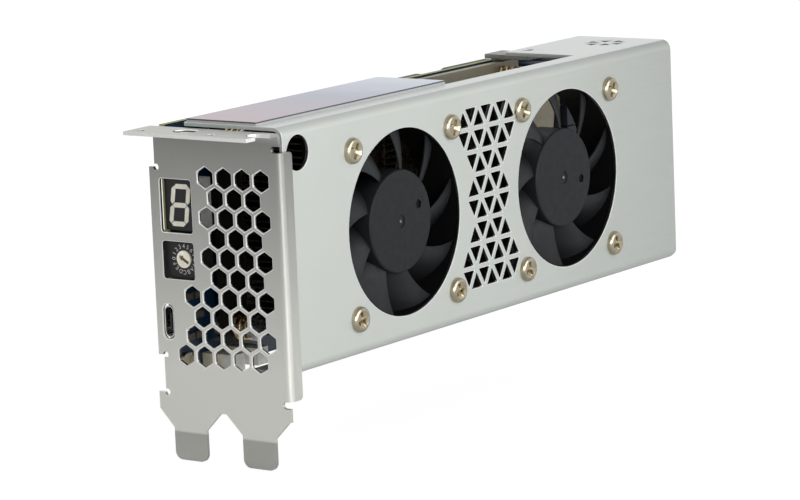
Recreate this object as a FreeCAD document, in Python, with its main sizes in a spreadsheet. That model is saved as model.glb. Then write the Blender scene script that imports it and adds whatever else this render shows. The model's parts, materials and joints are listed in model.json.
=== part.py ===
import FreeCAD, Part
import math
import os
import re

import Sketcher
from FreeCAD import Placement, Rotation, Vector

# Low-profile, two-slot accelerator card cooled by two fans.
# Frame: +X along the card away from the slot bracket, +Z up, the fan side faces -Y.
# Origin: on the bracket's outer face, midway between its two tongues.

# ---------------------------------------------------------------- driving sizes, in millimetres

SIZES = [
    # the folded slot bracket
    ("bracket_sheet", 0.86, "thickness of the folded steel sheet"),
    ("bracket_top", 61.5, "upper face of the screw tab"),
    ("bracket_board_edge", 18.55, "edge on the board's side"),
    ("bracket_foot_edge", 19.0, "the same edge below the lower ear"),
    ("bracket_fan_edge", 19.8, "edge on the fan side, above and below the flange"),
    ("shoulder_height", -5.7, "where the tapers to the tongues start"),
    ("notch_half", 0.9, "half the flat top of the notch between the tongues"),
    ("tongue_top", -10.0, "where the tongues become parallel"),
    ("tongue_bottom", -17.6, "lower end of the tongues"),
    ("tongue_width", 9.55, "width of one tongue"),
    ("tongue_corner", 2.0, "rounded lower corners of the tongues"),
    ("slot_pitch", 20.32, "distance between two expansion slots"),
    ("wide_top", 50.9, "upper end of the wide stretch of the board side"),
    ("wide_bottom", 8.0, "lower end of that stretch"),
    ("edge_corner", 1.0, "rounding of the bracket's edge corners"),
    ("ear_reach", 9.2, "how far the ears reach along the board"),
    ("ear_top_low", 52.3, "lower edge of the upper ear"),
    ("ear_top_high", 59.4, "upper edge of the upper ear"),
    ("ear_foot_low", -0.9, "lower edge of the lower ear"),
    ("ear_foot_high", 6.1, "upper edge of the lower ear"),
    ("ear_screw_radius", 1.2, "radius of the screws through the ears"),
    ("ear_screw_inset", 2.8, "distance of those screws from the ears' ends"),
    ("ear_screw_lift", 1.4, "lower screw above the middle of its ear"),
    ("relief_radius", 0.8, "round bend reliefs"),
    ("flange_reach", 4.5, "depth of the side flange"),
    ("flange_low", -1.0, "lower end of the side flange"),
    ("flange_high", 56.7, "upper end of the side flange"),
    ("flange_gap", 0.15, "air between the side flange and the cover"),
    ("bend_outer", 1.7, "outer radius of the bracket's bends"),
    ("tab_reach", 10.6, "how far the screw tab stands out"),
    ("tab_lobe_inset", 0.8, "how far the lobe outside the open slot stays inside the tab's end"),
    ("slot_width", 4.42, "width of the screw slots"),
    ("slot_length", 5.8, "length of the closed screw slot"),
    ("slot_centre", 5.0, "distance of the slots from the bracket's face"),
    ("slot_side", 2.9, "sideways place of the closed slot"),
    ("pilot_radius", 0.9, "small pilot holes in the tab"),
    ("pilot_reach", 7.5, "distance of the pilot holes from the bracket's face"),
    ("pilot_side", 13.9, "sideways place of the first pilot hole"),
    # windows and vents of the bracket
    ("window_board_side", 15.75, "edge of the windows on the board's side"),
    ("window_width", 9.25, "width of the two windows"),
    ("display_low", 36.5, "lower edge of the display window"),
    ("display_high", 49.1, "upper edge of the display window"),
    ("switch_low", 25.5, "lower edge of the switch window"),
    ("switch_high", 34.4, "upper edge of the switch window"),
    ("window_corner", 0.7, "rounded corners of the two windows"),
    ("usb_opening_width", 3.25, "width of the obround socket opening"),
    ("usb_opening_height", 8.4, "height of that opening"),
    ("usb_centre", 15.2, "height of the socket's centre"),
    ("usb_centre_side", 15.03, "sideways place of the socket's centre"),
    ("vent_across", 4.4, "distance across the flats of a hexagonal vent"),
    ("vent_pitch", 5.43, "distance between vents in a row"),
    ("vent_side", 2.06, "sideways place of the first column"),
    ("vent_top", 49.96, "height of the first row"),
    # the cover
    ("cover_start", 2.4, "left end of the cover"),
    ("cover_end", 169.4, "right end of the cover"),
    ("cover_face", 19.1, "distance of the cover's front from the origin"),
    ("cover_sheet", 1.0, "thickness of the cover's sheet"),
    ("cover_room_below", 2.8, "air between the fan frames and the cover's bottom"),
    ("cover_room_above", 3.06, "air between the fan frames and the cover's top"),
    ("cover_bend", 2.5, "outer radius of the cover's bends"),
    ("top_flange_edge", 9.4, "rear edge of the cover's top"),
    ("top_cut_start", 77.5, "left end of the cut in the top"),
    ("top_cut_end", 134.3, "right end of the cut in the top"),
    ("top_cut_depth", 7.0, "top left over in front of the cut"),
    ("bottom_flange", 12.0, "depth of the cover's bottom"),
    ("corner_cut_width", 0.8, "chamfer at the lower right corner, along the card"),
    ("corner_cut_height", 1.7, "chamfer at the lower right corner, upwards"),
    ("peep_radius", 4.15, "round hole near the bracket"),
    ("peep_along", 8.0, "place of that hole along the card"),
    ("peep_height", 55.8, "height of that hole"),
    ("stay_hole_radius", 1.6, "screw hole in the end tab"),
    ("stay_hole_along", 139.8, "place of that hole along the card"),
    ("stay_hole_side", 5.9, "sideways place of that hole"),
    ("lattice_side", 4.4, "side of a triangular vent"),
    ("lattice_web", 1.25, "metal left between triangular vents"),
    ("lattice_half", 12.0, "half the width of the vent field between the fans"),
    ("lattice_drop", 21.74, "lower edge of that field below the fan axes"),
    ("lattice_rise", 24.26, "upper edge of that field above the fan axes"),
    ("lattice_margin", 2.2, "metal kept round the fan openings"),
    ("end_field_start", 150.5, "left edge of the vent field in the end tab"),
    ("end_field_end", 167.0, "right edge of that field"),
    ("end_field_front", -13.6, "front edge of that field"),
    ("end_field_back", 2.4, "rear edge of that field"),
    # label on the cover
    ("label_start", 2.8, "left end of the label plate"),
    ("label_end", 77.8, "right end of the label plate"),
    ("label_front", -11.4, "front edge of the label plate"),
    ("label_back", 8.9, "rear edge of the label plate"),
    ("label_sheet", 0.8, "thickness of the label plate"),
    # fans
    ("fan_first", 48.7, "place of the first fan along the card"),
    ("fan_pitch", 70.4, "distance between the fans"),
    ("fan_height", 33.24, "height of the fan axes"),
    ("fan_opening", 22.5, "radius of the openings in the cover"),
    ("fan_square", 50.0, "side of a fan frame"),
    ("fan_depth", 10.0, "depth of a fan frame"),
    ("fan_bore", 22.8, "radius of the bore in a fan frame"),
    ("fan_corner", 3.0, "rounded corners of a fan frame"),
    ("fan_hole_pitch", 40.0, "distance between the screw holes of a fan"),
    ("fan_screw_radius", 1.9, "radius of a fan screw's shank"),
    ("fan_screw_length", 6.5, "length of a fan screw's shank"),
    ("fan_head_radius", 3.15, "radius of a fan screw's head"),
    ("fan_head_height", 1.35, "height of a fan screw's head"),
    ("screw_clearance", 0.2, "air round a screw in its hole"),
    ("strut_width", 2.2, "width of a fan frame's rear struts"),
    ("strut_depth", 1.5, "depth of the struts and the motor base"),
    ("hub_radius", 12.5, "radius of a rotor's hub"),
    ("hub_wall", 1.0, "wall of the hub's cup"),
    ("hub_boss", 0.9, "thickness of the boss that holds the shaft"),
    ("hub_clearance", 0.4, "air between that boss and the bearing"),
    ("hub_dimple", 0.25, "depth of the dimple in the hub's front"),
    ("hub_mark_depth", 0.4, "depth of the small recess beside it"),
    ("hub_recess", 1.8, "hub front behind the cover's front"),
    ("hub_depth", 6.6, "depth of the hub's cup"),
    ("hub_edge", 0.6, "rounding of the hub's front edge"),
    ("blade_tip", 21.5, "radius at the blade tips"),
    ("blade_front_step", 0.7, "blade edge behind the hub's front"),
    ("blade_depth", 5.8, "depth of a blade along the axis"),
    ("blade_sweep", 15.0, "degrees by which a tip leads its root"),
    ("blade_turn", 30.0, "degrees from a blade's front edge to its rear edge"),
    ("blade_sheet", 0.9, "thickness of a blade"),
    ("blade_camber", 0.9, "bulge of a blade's section"),
    ("shaft_radius", 1.0, "radius of a fan shaft"),
    ("bearing_radius", 2.9, "outer radius of a fan bearing"),
    ("bearing_wall_outer", 3.8, "outer radius of the bearing tube"),
    ("shaft_play", 0.03, "radial play of the shaft in its bearing"),
    ("motor_gap", 0.35, "air round the moving motor parts"),
    ("magnet_wall", 1.1, "wall of the ring magnet"),
    ("stator_gap", 1.4, "gap between the stator's poles"),
    ("motor_board_sheet", 0.8, "thickness of the fan's own board"),
    # circuit board
    ("board_front", 16.9, "front face of the board"),
    ("board_sheet", 1.6, "thickness of the board"),
    ("board_start", 4.4, "left end of the board"),
    ("board_end", 169.2, "right end of the board"),
    ("board_rise", 27.76, "upper edge near the bracket above the fan axes"),
    ("board_step_start", 42.0, "where the upper edge steps down"),
    ("board_step", 1.7, "height of that step"),
    ("board_bottom", 0.4, "lower edge of the board"),
    ("connector_start", 45.0, "left end of the edge connector"),
    ("connector_key", 57.15, "centre of the connector's key slot"),
    ("connector_key_width", 1.9, "width of the key slot"),
    ("connector_end", 129.8, "right end of the edge connector"),
    ("connector_bottom", -6.3, "lower edge of the connector"),
    ("contact_pitch", 1.0, "distance between contacts"),
    ("contact_width", 0.7, "width of a contact"),
    ("contact_sheet", 0.05, "thickness of a contact"),
    ("contact_length", 4.0, "length of a contact"),
    ("bar_depth", 2.0, "depth of the bars behind the board"),
    ("bar_height", 5.0, "height of those bars"),
    ("bar_length", 23.2, "length of one bar"),
    ("bar_first", 53.0, "left end of the first bar"),
    ("bar_second", 89.0, "left end of the second bar"),
    ("bar_third", 119.8, "left end of the third bar"),
    # heat sink
    ("plate_start", 17.0, "left end of the heat sink's plate"),
    ("plate_end", 144.0, "right end of the plate's upper part"),
    ("plate_tail_end", 163.0, "right end of the plate's lower part"),
    ("plate_tail_rise", 16.76, "upper edge of that lower part above the fan axes"),
    ("plate_rise", 26.16, "upper edge of the plate above the fan axes"),
    ("plate_drop", 26.74, "lower edge of the plate below the fan axes"),
    ("plate_sheet", 2.0, "thickness of the plate"),
    ("plate_standoff", 3.0, "room between plate and board"),
    ("fin_start", 25.5, "left end of the fins"),
    ("fin_end", 105.0, "right end of the fins"),
    ("fin_sheet", 0.35, "thickness of a fin"),
    ("fin_pitch", 1.6, "distance between fins"),
    ("fin_drop", 25.24, "lowest fin below the fan axes"),
    ("fin_gap", 0.3, "air between the fins and the fan frames"),
    ("fin_band_first", 49.0, "place of the first column of fin tabs"),
    ("fin_band_width", 8.0, "width of a column of fin tabs"),
    ("sprung_radius", 1.4, "radius of a sprung screw"),
    ("sprung_side", 4.0, "distance of the sprung screws from the plate's side edges"),
    ("sprung_last", 136.0, "place of the right-hand sprung screws"),
    ("spring_inner", 2.2, "inner radius of a spring"),
    ("spring_wire", 0.45, "radius of the spring's wire"),
    ("spring_length", 5.4, "length of a spring"),
    ("spring_pitch", 1.8, "distance between turns"),
    ("nut_radius", 2.4, "outer radius of the nuts pressed into the board"),
    ("nut_lip", 0.8, "how far those nuts stand in front of the board"),
    ("sprung_head_radius", 3.0, "radius of a sprung screw's head"),
    ("sprung_head_height", 1.2, "height of that head"),
    # processor and memory under the plate
    ("processor_along", 86.0, "centre of the processor along the card"),
    ("processor_side", 38.0, "side of the processor's carrier"),
    ("carrier_sheet", 1.2, "thickness of that carrier"),
    ("lid_inset", 4.0, "carrier left bare round the lid"),
    ("memory_long", 14.0, "long side of a memory chip"),
    ("memory_short", 10.0, "short side of a memory chip"),
    ("memory_height", 1.2, "height of a memory chip"),
    ("memory_gap", 4.0, "room between the processor and the memory"),
    ("memory_pitch", 17.0, "distance between memory chips"),
    ("power_along", 28.0, "place of the power stages along the card"),
    ("power_side", 5.0, "side of a power stage"),
    ("power_height", 0.9, "height of a power stage"),
    ("power_pitch", 8.0, "distance between power stages"),
    # parts at the board's right end
    ("coil_side", 5.4, "side of an inductor"),
    ("coil_height", 6.9, "height of an inductor"),
    ("coil_along", 151.0, "place of the first inductor along the card"),
    ("coil_gap", 0.3, "room between inductors, and between them and the plate"),
    ("can_radius", 2.6, "radius of a capacitor"),
    ("can_height", 5.4, "height of a capacitor"),
    ("can_along", 161.3, "place of the right-hand capacitor along the card"),
    ("can_rise", 5.5, "that capacitor's centre above the plate's tail"),
    ("can_left", 13.5, "place of the left-hand capacitor along the card"),
    ("can_left_height", 38.0, "height of that capacitor's centre"),
    ("chip_small", 3.0, "length of a small board part"),
    ("chip_small_width", 1.6, "width of a small board part"),
    ("chip_small_height", 1.0, "height of a small board part"),
    ("chip_small_gap", 1.6, "room between small board parts"),
    ("small_left", 7.6, "left end of the small parts near the bracket"),
    ("small_left_low", 9.0, "lower edge of the lowest small part"),
    # display, switch and socket behind the bracket
    ("face_gap", 0.6, "air between the bracket and what sits behind its windows"),
    ("display_depth", 6.0, "depth of the display's housing"),
    ("display_margin", 0.3, "display housing inside its window"),
    ("display_sheet", 0.4, "thickness of the display's black face"),
    ("digit_height", 10.0, "height of the digit"),
    ("digit_width", 5.6, "width of the digit"),
    ("digit_stroke", 1.15, "width of a segment"),
    ("digit_gap", 0.12, "dark gap between segments"),
    ("digit_side", 11.0, "sideways place of the digit's centre"),
    ("digit_raise", 0.08, "thickness of the segments"),
    ("switch_depth", 5.0, "depth of the code switch"),
    ("switch_body", 9.4, "height of the code switch"),
    ("switch_centre_side", 10.55, "sideways place of the switch's axis"),
    ("switch_centre", 30.1, "height of the switch's axis"),
    ("dial_radius", 2.05, "radius of the switch's rotor"),
    ("dial_play", 0.06, "radial play of that rotor"),
    ("dial_depth", 2.2, "depth of the rotor in the switch"),
    ("dial_proud", 0.3, "how far the rotor stands out"),
    ("dial_slot", 0.7, "width of the rotor's slot"),
    ("dial_slot_depth", 0.7, "depth of that slot"),
    ("dial_turn", 58.0, "angle by which the slot leans from upright"),
    ("usb_shell_height", 7.6, "height of the upright socket"),
    ("usb_shell_width", 2.85, "width of the socket"),
    ("usb_shell_depth", 5.6, "depth of the socket"),
    ("usb_shell_sheet", 0.3, "wall of the socket's shell"),
    ("usb_mouth", 0.3, "socket mouth behind the bracket's outer face"),
    ("usb_tongue_sheet", 0.6, "thickness of the tongue in the socket"),
    # fan leads and their connectors
    ("header_along", 14.0, "place of the first fan header along the card"),
    ("header_pitch", 9.0, "distance between the fan headers"),
    ("header_height", 2.9, "height of a fan header's centre above the origin"),
    ("header_width", 5.0, "width of a fan header"),
    ("header_tall", 4.2, "height of a fan header"),
    ("header_depth", 5.0, "how far a fan header stands off the board"),
    ("plug_depth", 4.2, "length of a fan plug"),
    # stay under the end tab
    ("stay_sheet", 1.2, "thickness of the stay"),
    ("stay_width", 8.0, "width of the stay along the card"),
    ("stay_foot", 8.0, "height of the stay's foot on the board"),
    ("stay_lap", 2.6, "how far the stay's arm passes its screw hole"),
    ("stay_nut_gap", 0.4, "air between the stay's foot and the next nut"),
]

# Heights that follow from the fans': each is a sum of sizes times the numbers beside them.
FOLLOWING = {
    "cover_bottom": {"fan_height": 1, "fan_square": -0.5, "cover_room_below": -1, "cover_sheet": -1},
    "cover_top": {"fan_height": 1, "fan_square": 0.5, "cover_room_above": 1, "cover_sheet": 1},
    "board_top": {"fan_height": 1, "board_rise": 1},
    "plate_top": {"fan_height": 1, "plate_rise": 1},
    "plate_tail_top": {"fan_height": 1, "plate_tail_rise": 1},
    "plate_bottom": {"fan_height": 1, "plate_drop": -1},
    "fin_low": {"fan_height": 1, "fin_drop": -1},
    "lattice_low": {"fan_height": 1, "lattice_drop": -1},
    "lattice_high": {"fan_height": 1, "lattice_rise": 1},
}

doc = FreeCAD.newDocument("accelerator_card")
sheet = doc.addObject("Spreadsheet::Sheet", "Sizes")
ALIASES = {alias for alias, number, note in SIZES}
PARTS = []


def fill_sheet():
    """Write every driving size, its alias and its note into the spreadsheet."""
    for row, (alias, number, note) in enumerate(SIZES, start=1):
        sheet.set(f"A{row}", alias)
        sheet.set(f"B{row}", str(number))
        sheet.set(f"C{row}", note)
        sheet.setAlias(f"B{row}", alias)
    doc.recompute()


def size(alias):
    """Read one driving size back from the spreadsheet, or add up one that follows."""
    if alias in FOLLOWING:
        return sum(share * size(term) for term, share in FOLLOWING[alias].items())
    return float(sheet.get(alias))


def cells(formula):
    """Turn a formula of plain aliases into one that names the spreadsheet's cells."""
    def cell(found):
        word = found.group()
        if word in FOLLOWING:
            terms = [f"({share}) * Sizes.{term}" for term, share in FOLLOWING[word].items()]
            return "(" + " + ".join(terms) + ")"
        return "Sizes." + word if word in ALIASES else word
    return re.sub(r"[a-z][a-z_]*", cell, formula)


def bind(thing, **formulas):
    """Bind properties to formulas of the sheet; a double underscore stands for a dot."""
    for name, formula in formulas.items():
        thing.setExpression(name.replace("__", "."), cells(formula))
    return thing


def keep(thing, label):
    """Make an object one of the parts that are written out, under its own label."""
    thing.Label = label
    PARTS.append(thing)
    return thing

# ---------------------------------------------------------------- primitives bound to the sheet


def block(name, along, side, height):
    """A box between pairs of formulas (low, high) along X, Y and Z."""
    box = doc.addObject("Part::Box", name)
    bind(box, Length=f"({along[1]}) - ({along[0]})",
         Width=f"({side[1]}) - ({side[0]})",
         Height=f"({height[1]}) - ({height[0]})",
         Placement__Base__x=along[0], Placement__Base__y=side[0], Placement__Base__z=height[0])
    return box


TURNS = {
    "x": Rotation(Vector(0, 1, 0), 90),
    "y": Rotation(Vector(1, 0, 0), -90),
    "z": Rotation(),
}


def rod(name, axis, radius, reach, first, second):
    """A cylinder along an axis from reach[0] to reach[1]; its centre is at first, second."""
    cylinder = doc.addObject("Part::Cylinder", name)
    cylinder.Placement = Placement(Vector(), TURNS[axis])
    others = [letter for letter in "xyz" if letter != axis]
    bind(cylinder, Radius=radius, Height=f"({reach[1]}) - ({reach[0]})")
    bind(cylinder, **{f"Placement__Base__{axis}": reach[0],
                      f"Placement__Base__{others[0]}": first,
                      f"Placement__Base__{others[1]}": second})
    return cylinder


def join(name, pieces):
    """Fuse pieces into one."""
    fuse = doc.addObject("Part::MultiFuse", name)
    fuse.Shapes = pieces
    fuse.Refine = True
    return fuse


def gather(name, pieces):
    """Hold separate solids together without fusing them."""
    group = doc.addObject("Part::Compound", name)
    group.Links = pieces
    return group


def cut(name, base, tools):
    """Take tools away from a base; the tools may overlap each other."""
    difference = doc.addObject("Part::Cut", name)
    difference.Base = base
    difference.Tool = tools[0] if len(tools) == 1 else join(name + "_tools", tools)
    return difference


def obround(name, axis, width, length, reach, first, second, upright):
    """A slot with round ends, centred at first, second, across the given axis."""
    half = f"({length} - {width}) / 2"
    others = [letter for letter in "xyz" if letter != axis]
    long_way = second if upright else first
    ends = []
    for number, sign in enumerate("+-"):
        moved = f"{long_way} {sign} {half}"
        place = (first, moved) if upright else (moved, second)
        ends.append(rod(f"{name}_end_{number}", axis, f"{width} / 2", reach, *place))
    spans = {axis: reach}
    for letter, centre in zip(others, (first, second)):
        reach_half = half if (letter == others[1]) == upright else f"{width} / 2"
        spans[letter] = (f"{centre} - {reach_half}", f"{centre} + {reach_half}")
    middle = block(f"{name}_middle", spans["x"], spans["y"], spans["z"])
    return join(name, ends + [middle])


# ---------------------------------------------------------------- sketches and bodies

def plane_of(body, role):
    """One of a body's own origin planes."""
    return next(item for item in body.Origin.OriginFeatures if item.Role == role)


def outline(body, name, role, corners, offset="0"):
    """A closed sketch whose corners are held at (across, up) formulas of the sheet."""
    sketch = body.newObject("Sketcher::SketchObject", name)
    sketch.AttachmentSupport = [(plane_of(body, role), "")]
    sketch.MapMode = "FlatFace"
    bind(sketch, AttachmentOffset__Base__z=offset)
    count = len(corners)
    ring = [Vector(math.cos(2 * math.pi * i / count), math.sin(2 * math.pi * i / count), 0) * 10
            for i in range(count)]
    sketch.addGeometry([Part.LineSegment(ring[i], ring[(i + 1) % count]) for i in range(count)], False)
    rules = [Sketcher.Constraint("Coincident", i, 2, (i + 1) % count, 1) for i in range(count)]
    for i in range(count):
        rules.append(Sketcher.Constraint("DistanceX", -1, 1, i, 1, ring[i].x))
        rules.append(Sketcher.Constraint("DistanceY", -1, 1, i, 1, ring[i].y))
    sketch.addConstraint(rules)
    for i, (across, up) in enumerate(corners):
        sketch.setExpression(f"Constraints[{count + 2 * i}]", cells(across))
        sketch.setExpression(f"Constraints[{count + 2 * i + 1}]", cells(up))
    return sketch


def rectangle(body, name, role, across, up, offset="0"):
    """A rectangular sketch between two pairs of formulas."""
    corners = [(across[0], up[0]), (across[1], up[0]), (across[1], up[1]), (across[0], up[1])]
    return outline(body, name, role, corners, offset)


def pad(body, sketch, length, backwards=False):
    """Give a sketch thickness along its normal, or the other way."""
    feature = body.newObject("PartDesign::Pad", sketch.Name + "_pad")
    feature.Profile = sketch
    feature.Reversed = backwards
    bind(feature, Length=length)
    doc.recompute()
    return feature


def turn(body, sketch, axis):
    """Revolve a sketch fully about one of its own axes."""
    feature = body.newObject("PartDesign::Revolution", sketch.Name + "_turned")
    feature.Profile = sketch
    feature.ReferenceAxis = (sketch, [axis])
    feature.Angle = 360
    doc.recompute()
    return feature


def round_edges(body, name, radius, places):
    """Fillet the straight edges of the body's tip that pass through the given places.

    Each place is (axis letter, {letter: coordinate}) and matches edges along that axis.
    """
    base = body.Tip
    chosen = []
    for number, edge in enumerate(base.Shape.Edges, start=1):
        if edge.Curve.TypeId != "Part::GeomLine":
            continue
        direction = edge.Curve.Direction
        middle = edge.CenterOfMass
        for axis, where in places:
            along = abs(getattr(direction, axis)) > 0.999
            if along and all(abs(getattr(middle, k) - v) < 0.02 for k, v in where.items()):
                chosen.append(f"Edge{number}")
                break
    feature = body.newObject("PartDesign::Fillet", name)
    feature.Base = (base, chosen)
    bind(feature, Radius=radius)
    body.Tip = feature
    doc.recompute()
    return feature

# ---------------------------------------------------------------- the bracket

def make_bracket():
    """One folded sheet: face plate, side flange, two ears, screw tab, vents and windows."""
    body = doc.addObject("PartDesign::Body", "bracket_blank")
    half_pitch = "slot_pitch / 2"
    half_tongue = "tongue_width / 2"
    drop = "(shoulder_height - tongue_top)"
    flange_out = "-cover_face - flange_gap - bracket_sheet"
    relief_end = f"{flange_out} + bend_outer"
    face = outline(body, "bracket_face", "YZ_Plane", [
        ("board_front", "bracket_top"),
        ("board_front", "wide_top + relief_radius"),
        ("bracket_board_edge", "wide_top + relief_radius"),
        ("bracket_board_edge", "wide_bottom - relief_radius"),
        ("board_front", "wide_bottom - relief_radius"),
        ("board_front", "ear_foot_low - relief_radius"),
        ("bracket_foot_edge", "ear_foot_low - relief_radius"),
        ("bracket_foot_edge", "shoulder_height"),
        (f"{half_pitch} + {half_tongue}", "tongue_top"),
        (f"{half_pitch} + {half_tongue}", "tongue_bottom"),
        (f"{half_pitch} - {half_tongue}", "tongue_bottom"),
        (f"{half_pitch} - {half_tongue}", "tongue_top"),
        ("notch_half", f"tongue_top + {half_pitch} - {half_tongue} - notch_half"),
        ("-notch_half", f"tongue_top + {half_pitch} - {half_tongue} - notch_half"),
        (f"-{half_pitch} + {half_tongue}", "tongue_top"),
        (f"-{half_pitch} + {half_tongue}", "tongue_bottom"),
        (f"-{half_pitch} - {half_tongue}", "tongue_bottom"),
        (f"-{half_pitch} - {half_tongue}", "tongue_top"),
        (f"-{half_pitch} - {half_tongue} - {drop}", "shoulder_height"),
        ("-bracket_fan_edge", "shoulder_height"),
        ("-bracket_fan_edge", "flange_low - 2 * relief_radius"),
        (relief_end, "flange_low - 2 * relief_radius"),
        (relief_end, "flange_low"),
        (flange_out, "flange_low"),
        (flange_out, "flange_high"),
        (relief_end, "flange_high"),
        (relief_end, "flange_high + 2 * relief_radius"),
        ("-bracket_fan_edge", "flange_high + 2 * relief_radius"),
        ("-bracket_fan_edge", "bracket_top"),
    ])
    pad(body, face, "bracket_sheet")
    flange = rectangle(body, "side_flange", "YZ_Plane",
                       (flange_out, "-cover_face - flange_gap"), ("flange_low", "flange_high"))
    pad(body, flange, "flange_reach")
    for number, (low, high) in enumerate([("ear_foot_low", "ear_foot_high"),
                                          ("ear_top_low", "ear_top_high")]):
        ear = rectangle(body, f"ear_{number}", "YZ_Plane",
                        ("board_front - bracket_sheet", "board_front"), (low, high))
        pad(body, ear, "ear_reach")
    tab = rectangle(body, "screw_tab", "YZ_Plane",
                    ("-bracket_fan_edge", "board_front"), ("bracket_top - bracket_sheet", "bracket_top"))
    pad(body, tab, "tab_reach", backwards=True)

    sheet_back = size("bracket_sheet")
    top = size("bracket_top")
    outer_side = -size("cover_face") - size("flange_gap") - sheet_back
    round_edges(body, "tab_bend", "bend_outer", [("y", {"x": sheet_back, "z": top})])
    round_edges(body, "tab_inner_bend", "bend_outer - bracket_sheet",
                [("y", {"x": 0, "z": top - sheet_back})])
    round_edges(body, "flange_bend", "bend_outer", [("z", {"x": 0, "y": outer_side})])
    round_edges(body, "flange_inner_bend", "bend_outer - bracket_sheet",
                [("z", {"x": sheet_back, "y": outer_side + sheet_back})])
    reach = size("flange_reach")
    round_edges(body, "flange_corners", "edge_corner",
                [("y", {"x": reach, "z": size("flange_low")}),
                 ("y", {"x": reach, "z": size("flange_high")})])
    sides = [sign * size("slot_pitch") / 2 + way * size("tongue_width") / 2
             for sign in (1, -1) for way in (1, -1)]
    round_edges(body, "tongue_corners", "tongue_corner",
                [("x", {"y": side, "z": size("tongue_bottom")}) for side in sides])
    return body


def bracket_openings():
    """Everything that is punched out of the bracket."""
    through = ("-bracket_sheet", "2 * bracket_sheet")
    board_side = "window_board_side"
    window = ("window_board_side - window_width", board_side)
    flange_end = "-cover_face - flange_gap - bracket_sheet + bend_outer"
    tools = [
        rounded_window("display_window", through, window, ("display_low", "display_high")),
        rounded_window("switch_window", through, window, ("switch_low", "switch_high")),
        obround("usb_opening", "x", "usb_opening_width", "usb_opening_height", through,
                "usb_centre_side", "usb_centre", upright=True),
    ]
    for number, place in enumerate([
            ("board_front - bracket_sheet / 2", "wide_top + relief_radius"),
            ("board_front - bracket_sheet / 2", "wide_bottom - relief_radius"),
            ("board_front - bracket_sheet / 2", "ear_foot_low - relief_radius"),
            (flange_end, "flange_high + relief_radius"),
            (flange_end, "flange_low - relief_radius")]):
        tools.append(rod(f"relief_{number}", "x", "relief_radius", through, *place))
    for number, height in enumerate(("(ear_foot_low + ear_foot_high) / 2 + ear_screw_lift",
                                     "(ear_top_low + ear_top_high) / 2")):
        tools.append(rod(f"ear_hole_{number}", "y", "ear_screw_radius + screw_clearance",
                         ("board_front - 2 * bracket_sheet", "board_front + bracket_sheet"),
                         "ear_reach - ear_screw_inset", height))
    return tools + tab_openings() + vent_tools()


def rounded_window(name, through, side, height):
    """A window's cutting tool with rounded corners."""
    inset = "window_corner"
    wide = block(f"{name}_wide", through, side, (f"{height[0]} + {inset}", f"{height[1]} - {inset}"))
    tall = block(f"{name}_tall", through, (f"{side[0]} + {inset}", f"{side[1]} - {inset}"), height)
    corners = [rod(f"{name}_corner_{a}_{b}", "x", inset, through,
                   (f"{side[0]} + {inset}", f"{side[1]} - {inset}")[a],
                   (f"{height[0]} + {inset}", f"{height[1]} - {inset}")[b])
               for a in (0, 1) for b in (0, 1)]
    return join(name, [wide, tall] + corners)


def tab_openings():
    """The closed slot, the open slot and the two pilot holes of the screw tab."""
    upward = ("bracket_top - 2 * bracket_sheet", "bracket_top + bracket_sheet")
    tools = [obround("closed_slot", "z", "slot_width", "slot_length", upward,
                     "-slot_centre", "slot_side", upright=True)]
    open_place = "slot_side - slot_pitch"
    tools.append(rod("open_slot_end", "z", "slot_width / 2", upward, "-slot_centre", open_place))
    tools.append(block("open_slot", ("-slot_centre - slot_width / 2", "-slot_centre + slot_width / 2"),
                       ("-bracket_fan_edge - 1", open_place), upward))
    tools.append(block("lobe_end", ("-tab_reach - 1", "-slot_centre"),
                       ("-bracket_fan_edge - 1", "-bracket_fan_edge + tab_lobe_inset"), upward))
    for number in range(2):
        tools.append(rod(f"pilot_{number}", "z", "pilot_radius", upward, "-pilot_reach",
                         f"pilot_side - {number} * slot_pitch"))
    return tools


# Rows of the honeycomb from the top: the columns that are open, counted from the first one.
VENT_ROWS = [
    (0, 4), (0.5, 3), (0, 4), (0.5, 3), (0, 4), (0.5, 3), (-1, 5), (-0.5, 4), (-1, 5), (-1.5, 5),
]


def vent_tools():
    """Hexagonal prisms in staggered rows, points up."""
    prisms = []
    for row, (first, count) in enumerate(VENT_ROWS):
        for step in range(count):
            prism = doc.addObject("Part::Prism", f"vent_{row}_{step}")
            prism.Polygon = 6
            prism.Placement = Placement(Vector(), Rotation(Vector(0, 1, 0), 90))
            bind(prism, Circumradius="vent_across / sqrt(3)", Height="3 * bracket_sheet",
                 Placement__Base__x="-bracket_sheet",
                 Placement__Base__y=f"vent_side - ({first + step}) * vent_pitch",
                 Placement__Base__z=f"vent_top - {row} * vent_pitch * sqrt(3) / 2")
            prisms.append(prism)
    return prisms


# ---------------------------------------------------------------- the cover

def make_cover_blank():
    """A sheet folded to a channel: front wall, full top and narrow bottom."""
    body = doc.addObject("PartDesign::Body", "cover_blank")
    inner_face = "-cover_face + cover_sheet"
    bottom_edge = "-cover_face + bottom_flange"
    profile = outline(body, "cover_profile", "YZ_Plane", [
        ("-cover_face", "cover_bottom"),
        ("-cover_face", "cover_top"),
        ("top_flange_edge", "cover_top"),
        ("top_flange_edge", "cover_top - cover_sheet"),
        (inner_face, "cover_top - cover_sheet"),
        (inner_face, "cover_bottom + cover_sheet"),
        (bottom_edge, "cover_bottom + cover_sheet"),
        (bottom_edge, "cover_bottom"),
    ], offset="cover_start")
    pad(body, profile, "cover_end - cover_start")
    face = -size("cover_face")
    wall = size("cover_sheet")
    low = size("cover_bottom")
    high = size("cover_top")
    round_edges(body, "cover_bends", "cover_bend",
                [("x", {"y": face, "z": low}), ("x", {"y": face, "z": high})])
    round_edges(body, "cover_inner_bends", "cover_bend - cover_sheet",
                [("x", {"y": face + wall, "z": low + wall}), ("x", {"y": face + wall, "z": high - wall})])
    return body


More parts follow.
